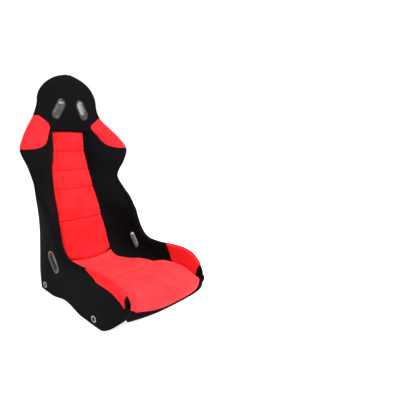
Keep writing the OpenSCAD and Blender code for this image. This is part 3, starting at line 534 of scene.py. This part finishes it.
# the same velour in a paler red: painted light, standing in for the extra light that the upward-facing cushion
# catches from above
RED_SEAT_PAINTED_LIGHT = velour("velour_red_painted_top_light", "#e0262c", "#f8444a", 0.27, "#ff8078")
# dyed black all through, so that only the pile's soft edge light shows its form
BLACK = velour("velour_black", "#060607", "#0d0d0f", 0.03, "#8c8c94")
# nylon hook tape: the same matt pile at a coarser look
TAPE = velour("hook_tape_black", "#121212", "#2a2a2a", 0.1, "#777777")
LAMINATE = glass_laminate()
BEZEL = moulded_plastic()
# zinc-plated mild steel: pale grey with a broad soft highlight
MOUNT_STEEL = turned_steel("zinc_plated_steel", "#8f9296", "#b4b7ba", 0.3, 0.5)
# phosphated steel: dark and dull round the threads
BUSH_STEEL = turned_steel("phosphated_steel", "#26262a", "#3c3c40", 0.4, 0.6)
# nickel-plated eyelets: a narrow bright highlight
EYELET_STEEL = turned_steel("bright_eyelet_steel", "#8d8f91", "#b4b6b8", 0.16, 0.32)
# a pale metal on the inner face of a bezel, paler than the ring: painted light, a soft bright band inside the dark
# ring that stands in for the light the inner wall catches
INNER_FACE_PAINTED_LIGHT = turned_steel("pale_metal_painted_light", "#8a8c8c", "#b2b4b4", 0.24, 0.4)
FOAM = open_foam()


# ---------------------------------------------------------------- padded pieces
def uneven(points, size, seed):
    """Soft handmade unevenness: a sum of six slow sine waves in seeded directions, in millimetres."""
    rng = np.random.default_rng(seed)
    total = 0
    for _ in range(6):
        way = rng.normal(size=3)
        way /= np.linalg.norm(way)
        total = total + np.sin(points @ way * 2 * np.pi / rng.uniform(38, 95) + rng.uniform(0, 6.28))
    return size * total / 6


def crumpled(front, hidden, size, seed):
    """Moves a face along its normals by the unevenness, fading out within 15 mm of its edges."""
    fade = pillow(edge_distance(front, ("start", "end", "low", "high")), 15)
    return front + normals_of(front, hidden) * (uneven(front, size, seed) * fade)[..., None]


def pad_piece(name, node, front, hidden, material, slot, fill, flip_x=False):
    """One closed padded piece between its front grid and its hidden grid."""
    points, faces = closed_mesh(front, hidden)
    piece = new_piece(name, points, faces, material, flip_x, sharp=48)
    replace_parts(piece, node)


def twin_piece(name, node, grids, material):
    """One piece of two closed solids, each between a front grid and a hidden grid."""
    points, faces = zip(*(closed_mesh(*pair) for pair in grids))
    piece = new_piece(name, np.concatenate(points), np.concatenate([faces[0], faces[1] + len(points[0])]), material)
    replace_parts(piece, node)
    return piece


def side_pad(stations, n_in, n_out):
    """Front and hidden grids of a pad from its stations: place, first q, cut q, over the rim or not."""
    rows = [pad_section(t, q0, qc, over, n_in, n_out) for t, q0, qc, over in stations]
    return np.array([r[0] for r in rows]), np.array([r[1] for r in rows])


def shoulder_q(z):
    """Where the seam between shoulder pad and bolster lies across the section at height z."""
    return float(curve(SHOULDER_Q, z))


def thigh_pad_grids():
    """The red cover and its black front end, which meet on a seam that runs forward towards the lap."""
    ys = np.linspace(THIGH_FRONT_Y, THIGH_BACK_Y - PAD_GAP, 110)
    front, hidden = side_pad([(t_pan(y), 0, SPLIT_Q, True) for y in ys], 26, 44)
    front = sewn(front, hidden, ["end"], 4, 12)
    inner = 1 - 0.8 * np.clip((np.linspace(0, 1, front.shape[1]) - 0.55) / 0.35, 0, 1)
    off = 12 * inner * (1 - pillow(edge_distance(front, ["start"]), 46))
    front = front - normals_of(front, hidden) * off[..., None]
    front = crumpled(front, hidden, 0.7, 3)
    share = np.clip((np.linspace(0, 1, front.shape[1]) - 0.1) / 0.85, 0, 1)
    seam = THIGH_SEAM_Y - THIGH_SEAM_RUN * share ** 1.1

    def part(first, last, n):
        """Both grids resampled between two places along each column."""
        at = first + (last - first) * np.linspace(0, 1, n)[:, None]
        return [np.array([[np.interp(at[:, j], ys, grid[:, j, k]) for k in range(3)]
                          for j in range(grid.shape[1])]).transpose(2, 0, 1) for grid in (front, hidden)]

    red, black = part(seam + 0.15, ys[-1] + 0 * seam, 90), part(ys[0] + 0 * seam, seam - 0.15, 24)
    return (sewn(*red, ["start"], 2.5, 8), red[1]), (sewn(*black, ["end"], 2, 6), black[1])


def bolster_grids():
    full = SHOULDER_LOW_Z - 2 * PAD_GAP
    ts = np.r_[np.linspace(JOINT_T + 0.002, 1, 40)[:-1], np.linspace(1, 2, 80)[:-1],
               t_back(np.linspace(PIVOT_Z, full, 90))]
    low = [(t, 0, SPLIT_Q if z < 430 else lerp(SPLIT_Q, shoulder_q(full) - 0.01, (z - 430) / (full - 430)),
            True) for t, z in zip(ts, plane_point(ts, 0 * ts + 90)[1])]
    high = [(float(t_back(z)), 0, shoulder_q(z) - 0.01, False)
            for z in np.linspace(full + 0.15, HEAD_LOW_Z - 1, 26)]
    front, hidden = side_pad(low + high, 40, 44)
    front = sewn(front, hidden, ["start"], 4, 12)
    front = sewn(front, hidden, ["end"], 2.5, 9)
    return crumpled(front, hidden, 0.9, 5), hidden


def shoulder_pad_grids():
    zs = np.linspace(SHOULDER_LOW_Z, NECK_Z - 1, 80)
    front, hidden = side_pad([(float(t_back(z)), shoulder_q(z), shoulder_q(z), True) for z in zs], 0, 60)
    front = sewn(front, hidden, ["start"], 3.5, 10)
    front = sewn(front, hidden, ["low"], 3, 9)
    return crumpled(front, hidden, 0.6, 8), hidden


thigh_pad, thigh_pad_end = thigh_pad_grids()
SIDE_PADS = (("thigh_pad", "thigh_pad", thigh_pad, RED, "red_velour", 0.8),
             ("thigh_pad_end", "thigh_pad", thigh_pad_end, BLACK, "black_velour", 0.8),
             ("bolster", "bolster", bolster_grids(), BLACK, "black_velour", 0.85),
             ("shoulder_pad", "shoulder_pad", shoulder_pad_grids(), RED, "red_velour", 0.8))
for side, flip in (("left", False), ("right", True)):
    for part, node, (front, hidden), material, slot_name, fill in SIDE_PADS:
        pad_piece(f"{side}_{part}_cover", f"{side}_{node}", front, hidden, material, slot_name, fill, flip)


def panel_grids():
    """Backrest panel: each section between two sewn channels is crowned both ways, each channel is a
    narrow valley with a wider soft one round it, and the outer edges turn down on a quarter circle."""
    seams = np.r_[t_back(PANEL_TOP_Z), t_back(np.array(CHANNEL_Z)), CUSHION_BACK_T + 0.012]
    ts = np.unique(np.r_[np.linspace(seams[-1], seams[0], 200),
                         np.concatenate([s + np.linspace(-16, 16, 33) / MM_PER_T for s in seams[1:-1]])])
    us = np.sin(np.linspace(-np.pi / 2, np.pi / 2, 81) * 0.96) / np.sin(np.pi / 2 * 0.96)
    w = floor_w(ts) - PAD_GAP
    t, u = np.meshgrid(ts, us, indexing="ij")
    far = np.abs(t[..., None] - seams[1:-1]).min(-1) * MM_PER_T
    valley = 5.0 * np.exp(-(far / 2.2) ** 2) + 5.5 * (1 - pillow(far, 30))
    end = pillow(np.minimum(t - seams[-1], seams[0] - t) * MM_PER_T, 16)
    side = pillow(w[:, None] * (1 - np.abs(u)), 17)
    tb = bowed(t, u)
    r = seat_r(tb) - 1.5 - 3 * (1 - u * u) + valley * (0.35 + 0.65 * side) + 10 * (1 - end * side)
    w = w[:, None] - 6 * (1 - pillow((t - seams[-1]) * MM_PER_T, 20))
    front = place(tb, w * u, r)
    hidden = place(tb, w * u, seat_r(tb) + PANEL_T)
    return crumpled(front, hidden, 0.9, 11), hidden


def front_line(u, corner, reach):
    """Front edge across the seat, ahead of the cushion's base line: flat in the middle, round at its ends."""
    return corner + reach * (1 - np.abs(u) ** 3.2)


def bulge(t, u):
    return front_line(u, -15, 43.5) * np.clip((0.3 - t) / 0.347, 0, 1) ** 1.5


def cushion_grids():
    """Seat cushion: crowned across, drawn in along its sides and ends, with a sewn seam across."""
    t0, seam_t = t_pan(CUSHION_FRONT_Y), t_pan(CUSHION_SEAM_Y)
    ts = np.unique(np.r_[np.linspace(t0, CUSHION_BACK_T, 170), t0 + np.linspace(0, 0.06, 16),
                         seam_t + np.linspace(-14, 14, 29) / MM_PER_T])
    us = np.sin(np.linspace(-np.pi / 2, np.pi / 2, 121) * 0.95) / np.sin(np.pi / 2 * 0.95)
    t, u = np.meshgrid(ts, us, indexing="ij")
    w = (floor_w(ts) - PAD_GAP - 2 * np.clip((0.17 - ts) / 0.217, 0, 1))[:, None]
    edge = pillow(np.minimum(t - t0, CUSHION_BACK_T - t) * MM_PER_T, 20) * pillow(w * (1 - np.abs(u)), 24)
    tb = bowed(t, u)
    thick = pan_r(tb) - STRIP_T - seat_r(tb)
    far = np.abs(t - seam_t) * MM_PER_T
    seam = 4 * np.exp(-(far / 3.2) ** 2) + 3.5 * (1 - pillow(far, 26))
    y = lerp(FRONT_Y, PIVOT_Y, t)
    crown = curve(CROWN, y) * (1 - u ** 4) + 15 * np.exp(-((y + 190) / 78) ** 4) * (1 - u ** 10)
    top = seat_r(tb) + seam - crown + np.minimum(12, 0.35 * thick) * (1 - edge)
    under = seat_r(tb) + thick - np.minimum(6, 0.15 * thick) * (1 - edge) + 3 * np.clip((0.1 - t) / 0.147, 0, 1)
    out = np.array([0, 1, 0]) * bulge(t, u)[..., None]
    front, hidden = place(tb, w * u, top) - out, place(tb, w * u, under) - out
    return crumpled(front, hidden, 1.1, 14), hidden


def roll_grids():
    """Roll along the pan's front edge: an oval carried along the bulging edge, deeper towards the walls."""
    x = ROLL_HALF_W * np.sin(np.linspace(-np.pi / 2, np.pi / 2, 141))[:, None]
    u = x / ROLL_HALF_W
    e = np.maximum(pillow(ROLL_HALF_W - np.abs(x), 3), 0.5)
    tall = (4.2 + 9.8 * np.abs(u) ** 2.7) * e

    def oval(a):
        a = a[None, :]
        return np.stack([x + 0 * a, -283 - front_line(u, 0, 38) + 8 * e * np.cos(a),
                         81.8 + 3 * u * u - tall + tall * np.sin(a)], -1)

    return oval(np.radians(np.linspace(176, 4, 19))), oval(np.radians(np.linspace(184, 356, 19)))


def gusset_grids(side):
    """A black gusset closes the notch between the cushion and a thigh pad: a low ridge along the
    joint that drops on a quarter circle at its front end."""
    t0, t1 = t_pan(GUSSET_FRONT_Y), t_pan(GUSSET_BACK_Y)
    t, f = np.meshgrid(np.linspace(t0, t1, 30), np.linspace(-1, 1, 16), indexing="ij")
    x = side * (floor_w(t) - 3 + 11 * f)
    top = seat_r(t) + 3.2 + 2.6 * (1 - f * f) + 9 * (1 - pillow((t - t0) * (PIVOT_Y - FRONT_Y), 9))
    return place(t, x, top), place(t, x, top + 6)


def foam_grids():
    ts = np.linspace(1.5, float(t_back(PANEL_TOP_Z)) - 0.005, 60)
    t, u = np.meshgrid(ts, np.linspace(-1, 1, 31), indexing="ij")
    w = (floor_w(ts) - 8)[:, None]
    front_r = seat_r(t) + PANEL_T + GLUE_GAP
    deep = np.minimum(back_reach(t, np.broadcast_to(w, t.shape), LAMINATE_IN + GLUE_GAP),
                      np.where(t < 1.98, pan_r(t) - GLUE_GAP, 1000))
    return place(t, w * u, front_r), place(t, w * u, np.maximum(front_r + 0.5, deep))


def tape_grids(side):
    """A hook-tape strip between the cushion and the pan: a thin band that follows the pan."""
    t, x = np.meshgrid(np.linspace(0.32, 1, 40), side * np.linspace(90, 115, 8), indexing="ij")
    return place(t, x, pan_r(t) - 2.4), place(t, x, pan_r(t) - 0.2)


pad_piece("backrest_panel_cover", "backrest_panel", *panel_grids(), RED, "red_velour", 0.7)
# the cushion takes the paler red, whose extra lightness is painted light from above
pad_piece("seat_cushion_cover", "seat_cushion", *cushion_grids(), RED_SEAT_PAINTED_LIGHT, "red_velour", 0.7)
pad_piece("front_edge_roll_cover", "front_edge_roll", *roll_grids(), BLACK, "black_velour", 0.8)
gussets = twin_piece("front_corner_gussets", "front_edge_roll", [gusset_grids(-1), gusset_grids(1)], BLACK)
pad_piece("back_foam_block", "back_foam", *foam_grids(), FOAM, "foam", 0.9)
twin_piece("hook_tape_strips", "cushion_hook_strips", [tape_grids(-1), tape_grids(1)], TAPE)


# ---------------------------------------------------------------- head pad, skin and their cuts
def ring_path(length, width, n=48):
    """Stadium outline about the origin, long along Y: points and outward normals."""
    straight = (length - width) / 2
    a = np.linspace(0, np.pi, n)
    top = np.stack([np.cos(a), np.sin(a)], 1)
    normals = np.concatenate([top, -top])
    centres = np.concatenate([np.full(n, straight), np.full(n, -straight)])
    return normals * width / 2 + np.stack([0 * centres, centres], 1), normals


SHOULDER_FRONT_Y = float(curve(HEAD, SLOT_Z)) + 4
SHOULDER_REAR_Y = float(outer_y(SLOT_X, SLOT_Z)) - 4
LAP_INNER_X = BASE_W / 2 - 27 + 4
LAP_OUTER_X = float(outer_x(LAP_Y, LAP_Z)) - SKIN_T


def turn(degrees, axis):
    a = math.radians(degrees)
    c, s = math.cos(a), math.sin(a)
    return np.array({"x": [[1, 0, 0], [0, c, -s], [0, s, c]], "y": [[c, 0, s], [0, 1, 0], [-s, 0, c]],
                     "z": [[c, -s, 0], [s, c, 0], [0, 0, 1]]}[axis])


def at_shoulder(points):
    """From a shoulder slot's own axes: local Z points forwards."""
    return points @ (turn(90, "x") @ turn(SLOT_LEAN, "z")).T + [SLOT_X, 0, SLOT_Z]


def at_lap(points):
    """From a lap slot's own axes: local Z points inwards."""
    return points @ (turn(-90, "y") @ turn(90 + LAP_LEAN, "z")).T + [0, LAP_Y, LAP_Z]


def prism(outline, z0, z1):
    """Closed prism over a plane outline, from z0 to z1 of its own axes."""
    n = len(outline)
    i = np.arange(n)
    points = np.concatenate([np.c_[outline, np.full(n, z0)], np.c_[outline, np.full(n, z1)]])
    sides = np.stack([i, (i + 1) % n, n + (i + 1) % n, n + i], 1).tolist()
    return points, sides + [list(range(n))[::-1], list(range(n, 2 * n))]


def cut(piece, cutters, operation="DIFFERENCE"):
    """Cuts a piece by closed shapes (points, faces), one after another, and keeps the result."""
    for points, faces in cutters:
        cutter = new_object("cutter", points, faces)
        step = piece.modifiers.new("cut", "BOOLEAN")
        step.operation, step.object, step.solver = operation, cutter, "EXACT"
        bpy.context.view_layer.update()
        done = bpy.data.meshes.new_from_object(piece.evaluated_get(bpy.context.evaluated_depsgraph_get()))
        piece.modifiers.clear()
        piece.data = done
        bpy.data.objects.remove(cutter)
    piece.data.polygons.foreach_set("use_smooth", [True] * len(piece.data.polygons))
    piece.data.set_sharp_from_angle(angle=math.radians(40))


def both_sides(shapes):
    """Each shape and its mirror image, with the image's faces turned to stay outward."""
    return [side for points, faces in shapes
            for side in ((points, faces), (points * [-1, 1, 1], [f[::-1] for f in faces]))]


GROWN = 2 * (2 + FIT_GAP)
TUNNEL = ring_path(SLOT_L + GROWN, SLOT_W + GROWN)[0]
POCKET = ring_path(SLOT_L + 16 + 2 * FIT_GAP, SLOT_W + 16 + 2 * FIT_GAP)[0]


def bore(outline_of, z0, z1, mover):
    """A prism in a slot's own axes, moved to the slot."""
    points, faces = prism(outline_of, z0, z1)
    return mover(points), faces


def head_rows(z):
    """Front and hidden half rows of the head pad at height z, from the middle outwards."""
    over, t = z > NECK_Z - 4, float(t_back(z))
    roll = float(min(ROLL_R, 0.45 * half_w(z)))
    rim, y0 = float(curve(RIM_BACK, z)), float(curve(HEAD, z))
    nose = rim + roll
    edge = face_point(t, shoulder_q(z))
    x_side = float(outer_x(nose, z))
    x1, y1 = (x_side - roll, rim) if over else (float(edge[0]) - PAD_GAP, float(edge[1]) + PIVOT_Y)
    u = np.linspace(0, 1, 60)
    line = np.stack([x1 * u, lerp(y0, y1, u ** (2.5 if over else 4)), 0 * u + z], 1)
    if over:
        a = np.radians(np.linspace(0, 90, 16)[1:])
        line = np.r_[line, np.stack([x_side - roll * (1 - np.sin(a)), y1 + roll * (1 - np.cos(a)), 0 * a + z], 1)]
        lap_y = min(nose + LAP[-1, 1], float(outer_y(0, z)) - 0.3)
        ys = np.linspace(nose, lap_y, 5)[1:]
        line = np.r_[line, np.stack([outer_x(ys, z), ys, 0 * ys + z], 1)]
    x_in = float(outer_x(nose + LAP[-1, 1], z, LAMINATE_IN + GLUE_GAP)) if over else x1
    x = np.linspace(0, x_in, 61)
    deep = outer_y(x, z, LAMINATE_IN + GLUE_GAP)
    y = np.minimum(outer_y(x, z), np.maximum(deep, nose + LAP[-1, 1])) if over else deep
    return resample(line, 60), np.stack([x, y, 0 * x + z], 1)


def mirrored(row):
    return np.concatenate([row[:0:-1] * [-1, 1, 1], row])


def head_pad():
    zs = np.r_[np.linspace(HEAD_LOW_Z, NECK_Z - 4.1, 34), np.linspace(NECK_Z, DOME_Z, 34),
               DOME_Z + (DOME_TOP - DOME_Z) * np.sin(np.radians(np.linspace(2, 84, 52))), DOME_TOP]
    rows = [head_rows(float(z)) for z in zs]
    front = np.array([mirrored(r[0]) for r in rows])
    hidden = np.array([mirrored(r[1]) for r in rows])
    low = int(np.searchsorted(zs, NECK_Z - 2))
    narrow = sewn(front[:low], hidden[:low], ["low", "high"], 3, 9)
    front = np.concatenate([narrow, front[low:]])
    front = sewn(front, hidden, ["start"], 3, 9)
    front = crumpled(front, hidden, 0.6, 21)
    points, faces = closed_mesh(front, hidden)
    piece = new_piece("headrest_pad_cover", points, faces, BLACK)
    cut(piece, both_sides([bore(TUNNEL, -400, -200, at_shoulder),
                           bore(POCKET, -SHOULDER_FRONT_Y, -200, at_shoulder)]))
    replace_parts(piece, "headrest_pad")


head_pad()
lap_cuts = both_sides([bore(TUNNEL, -260, -150, at_lap), bore(POCKET, -LAP_INNER_X, -100, at_lap)])
cut(bpy.data.objects["left_bolster_cover"], lap_cuts[0::2])
cut(bpy.data.objects["right_bolster_cover"], lap_cuts[1::2])


def outline(z, inset):
    """Outline of the outer surface at height z from the front edge round the back: a straight wall,
    then a superellipse corner to the middle, mirrored."""
    w, yc, yr = (float(value) for value in corner_of(z, inset))
    f = np.linspace(0, np.pi / 2, 400)
    corner = np.stack([w * np.sin(f) ** (2 / curve(OUTER, z, 5)),
                       yc + (yr - yc) * np.cos(f) ** (2 / curve(OUTER, z, 4)), 0 * f + z], 1)
    ys = np.linspace(yc, -300, 60)[1:]
    return mirrored(np.concatenate([resample(corner, 90), np.stack([w - tuck(ys), ys, 0 * ys + z], 1)]))


def skin_grids():
    zs = np.unique(np.r_[np.linspace(0, 620, 125), np.linspace(620, SEAT_H - 10, 60)])
    return (np.array([outline(float(z), 0) for z in zs]),
            np.array([outline(float(z), SKIN_T - 0.15) for z in zs]))


def raked_front(n):
    """(y, z) of n points up the walls' raked front edge."""
    heights = np.linspace(0, WALL_FRONT[-1, 1], n)
    return np.stack([curve(WALL_FRONT[:, ::-1], heights), heights], 1)


def skin_rim(ts):
    """(y, z) of the skin's edge below the pads' lap on planes ts."""
    return np.stack(plane_point(ts, rim_r(ts) + ROLL_R + lap_l(ts) + EDGE_GAP), 1)


def side_outline():
    """Side view of the walls: the raked front, the edge below the pads' lap, and all that is behind."""
    ts = np.r_[np.linspace(t_pan(SKIN_RIM_Y), 1, 60)[:-1], np.linspace(1, 2, 60)[:-1],
               t_back(np.linspace(PIVOT_Z, SEAT_H, 120))]
    return np.concatenate([raked_front(40), skin_rim(ts), [[420, SEAT_H + 9], [420, 0]]])


def along_x(profile, x0, x1):
    points, faces = prism(profile, x0, x1)
    return points[:, [2, 0, 1]], faces


def arch(length, height):
    """Raised-cosine arch over a length, closed below the floor."""
    f = np.linspace(0, 1, 40)
    return np.r_[np.stack([(0.5 - f) * length, height * (1 - np.cos(2 * np.pi * f)) / 2], 1),
                 [[-length / 2, -9], [length / 2, -9]]]


def outer_skin():
    points, faces = closed_mesh(*skin_grids())
    piece = new_piece("outer_velour_skin", points, faces, BLACK)
    cut(piece, [along_x(side_outline(), -SHOULDER_W, SHOULDER_W)], "INTERSECT")
    side_arch = arch(190, 16) + [-15, 0]
    rear = prism(arch(250, 16), 0, 260)
    rear = (rear[0][:, [0, 2, 1]] + [0, 140, 0], [f[::-1] for f in rear[1]])
    a = np.linspace(0, 2 * np.pi, 49)[:-1]
    bolt = np.stack([np.cos(a), np.sin(a)], 1) * BOLT_CUT_R
    holes = [along_x(bolt + [y, BOLT_Z], -300, 300) for y in BOLT_YS]
    cut(piece, [along_x(side_arch, -SHOULDER_W, SHOULDER_W), rear, *holes,
                *both_sides([bore(TUNNEL, -400, -200, at_shoulder),
                             bore(POCKET, -400, -SHOULDER_REAR_Y, at_shoulder),
                             bore(TUNNEL, -260, -150, at_lap),
                             bore(POCKET, -260, -LAP_OUTER_X, at_lap)])])
    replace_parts(piece, "outer_skin")


outer_skin()


def turned_edge(side, sign):
    """The skin's raw edge round the raked front: it folds over the laminate and is glued inside."""
    path = np.concatenate([raked_front(60), skin_rim(np.linspace(t_pan(SKIN_RIM_Y), t_pan(EDGE_END_Y), 14))])
    way = np.gradient(path, axis=0)
    normal = np.stack([-way[:, 1], way[:, 0]], 1) / np.linalg.norm(way, axis=1)[:, None]
    # depth from the outer surface, distance ahead of the edge
    fold = np.array([[0, 0.02], [0.02, 0.5], [0.3, 1.05], [0.9, 1.3], [7.4, 1.3], [8.1, 1.05], [8.5, 0.4], [8.5, -9],
                     [7.6, -9], [7.6, 0.02]])
    yz = path[:, None] + normal[:, None] * fold[None, :, 1:]
    x = outer_x(path[:, 0], path[:, 1])[:, None] - fold[None, :, 0]
    points = np.concatenate([x[..., None], yz], -1)
    n, m = points.shape[:2]
    quads = tube_quads(n, m, joined=False)
    faces = quads.tolist() + [list(range(m))[::-1], list(range((n - 1) * m, n * m))]
    points = points.reshape(-1, 3) * [sign, 1, 1]
    faces = faces if volume_of(points, quads) > 0 else [f[::-1] for f in faces]
    piece = new_piece(f"{side}_front_fold", points, faces, BLACK, sharp=60)
    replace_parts(piece, "outer_skin")


for side, sign in (("left", 1), ("right", -1)):
    turned_edge(side, sign)


# ---------------------------------------------------------------- bezels and steel
def bezel_mesh(collar):
    """Profile carried round the slot: a collar, then a flange with a full round edge and a soft crown."""
    a = np.radians(np.linspace(180, 90, 9))
    b = np.radians(np.linspace(90, 0, 9))
    profile = np.r_[[[0, -collar]], np.stack([1.6 + 1.6 * np.cos(a), 2.4 + 1.6 * np.sin(a)], 1),
                    np.stack([5 + 3 * np.cos(b), 1 + 3 * np.sin(b)], 1), [[8, 0], [2, 0], [2, -collar]]]
    path, normals = ring_path(SLOT_L, SLOT_W)
    points = np.concatenate([path[:, None] + normals[:, None] * profile[None, :, :1],
                             np.broadcast_to(profile[None, :, 1:], (len(path), len(profile), 1))], -1)
    return points.reshape(-1, 3), tube_quads(*points.shape[:2])


def liner_mesh(collar):
    """The inner face of the opening in a pale metal whose paleness is painted light: a band 0.4 mm thick, from the
    collar's end to the flange.
    """
    path, normals = ring_path(SLOT_L - 0.04, SLOT_W - 0.04)
    low, top = np.full((len(path), 1), 0.05 - collar), np.full((len(path), 1), 2.2)
    inner = path - 0.4 * normals
    # one section: outer low, outer top, inner top, inner low
    points = np.stack([np.c_[path, low], np.c_[path, top], np.c_[inner, top], np.c_[inner, low]], 1)
    return points.reshape(-1, 3), tube_quads(len(path), 4)


def bezel(name, collar, mover, offset, facing, flip):
    """facing 1 shows the flange towards local +Z and -1 turns it round."""
    # each bezel is a dark ring and a pale inner band, and the band's paleness is painted light
    for (points, quads), suffix, material in ((bezel_mesh(collar), "_ring", BEZEL),
                                              (liner_mesh(collar), "_inner_face", INNER_FACE_PAINTED_LIGHT)):
        points = mover(points * [1, 1, facing] + [0, 0, -offset]) * [-1 if flip else 1, 1, 1]
        quads = quads if volume_of(points, quads) > 0 else quads[:, ::-1]
        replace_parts(new_piece(name + suffix, points, quads, material, sharp=50), name)


for side, flip in (("left", False), ("right", True)):
    deep = (SHOULDER_REAR_Y - SHOULDER_FRONT_Y) / 2 - FIT_GAP
    wide = (LAP_OUTER_X - LAP_INNER_X) / 2 - FIT_GAP
    bezel(f"{side}_shoulder_front_bezel", deep, at_shoulder, SHOULDER_FRONT_Y, 1, flip)
    bezel(f"{side}_shoulder_rear_bezel", deep, at_shoulder, SHOULDER_REAR_Y, -1, flip)
    bezel(f"{side}_lap_inner_bezel", wide, at_lap, LAP_INNER_X, 1, flip)
    bezel(f"{side}_lap_outer_bezel", wide, at_lap, LAP_OUTER_X, -1, flip)


def eyelets(side, sign):
    """Two eyelets: a half-round section carried round each bolt's axis."""
    inner, outer, thick = 7.7, 11.2, 1.2
    a = np.linspace(np.pi, 0, 15)
    mid, half = (inner + outer) / 2, (outer - inner) / 2
    section = np.r_[np.stack([mid + half * np.cos(a), thick * (0.35 + 0.65 * np.sin(a) ** 0.7)], 1),
                    [[outer, 0], [inner, 0]]]
    b = np.linspace(0, 2 * np.pi, 65)[:-1]
    n, m = len(b), len(section)
    points, faces = [], []
    for k, y in enumerate(BOLT_YS):
        ring = np.stack([np.broadcast_to(BASE_W / 2 + section[:, 1], (n, m)), y + np.outer(np.cos(b), section[:, 0]),
                         BOLT_Z + np.outer(np.sin(b), section[:, 0])], -1)
        points.append(ring.reshape(-1, 3) * [sign, 1, 1])
        faces.append(tube_quads(n, m) + k * n * m)
    faces = np.concatenate(faces)
    piece = new_piece(f"{side}_eyelets", np.concatenate(points), faces if sign > 0 else faces[:, ::-1],
                      EYELET_STEEL, sharp=50)
    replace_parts(piece, f"{side}_bolt_washers")


eyelets("left", 1)
eyelets("right", -1)
for name, finish_of in (("seat_shell", LAMINATE), ("seat_pan", LAMINATE), ("left_mount_plate", MOUNT_STEEL),
                        ("right_mount_plate", MOUNT_STEEL), ("left_mount_bushes", BUSH_STEEL),
                        ("right_mount_bushes", BUSH_STEEL)):
    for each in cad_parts[name].material_slots:
        each.material = finish_of

# ---------------------------------------------------------------- floor and light
def plain_white():
    made, tree, at = new_material("matt_white_floor")
    cloud = add_node(tree, "TexNoise", {"Scale": 3, "Detail": 2}, {"Vector": at})
    colour = add_node(tree, "Mix", {"data_type": "RGBA", 6: srgb("#fafafa"), 7: srgb("#ffffff")},
                      {0: cloud})
    surface(tree, {"Roughness": 0.9, "Emission Color": srgb("#ffffff"), "Emission Strength": 0.7}, colour)
    return made


floor_mesh = bpy.data.meshes.new("floor")
floor_mesh.from_pydata([(-9, -9, 0), (9, -9, 0), (9, 9, 0), (-9, 9, 0)], [], [(0, 1, 2, 3)])
floor_mesh.materials.append(plain_white())
floor = linked("floor", floor_mesh)

world = bpy.data.worlds.new("studio")
bpy.context.scene.world = world
world.use_nodes = True
sky, ray = world.node_tree, add_node(world.node_tree, "LightPath")
level = add_node(sky, "MapRange", {"To Min": 0.32, "To Max": 1.05}, {"Value": ray.outputs["Is Camera Ray"]})
sky.nodes["Background"].inputs["Color"].default_value = (1, 1, 1, 1)
sky.links.new(level.outputs["Result"], sky.nodes["Background"].inputs["Strength"])


def soft_light(name, at, size, power):
    """A square area light aimed at the middle of the seat."""
    lamp = linked(name, bpy.data.lights.new(name, "AREA"))
    lamp.data.size, lamp.data.energy = size, power
    way = Vector((0, 0, 0.4)) - Vector(at)
    lamp.matrix_world = Matrix.Translation(at) @ way.to_track_quat("-Z", "Y").to_matrix().to_4x4()


soft_light("key", (1.0, -2.3, 2.5), 1.3, 92)
soft_light("fill", (-2.3, -1.3, 1.5), 2.0, 34)
soft_light("top", (0.0, -0.3, 3.0), 1.6, 46)
bpy.context.scene.view_settings.view_transform = "Standard"
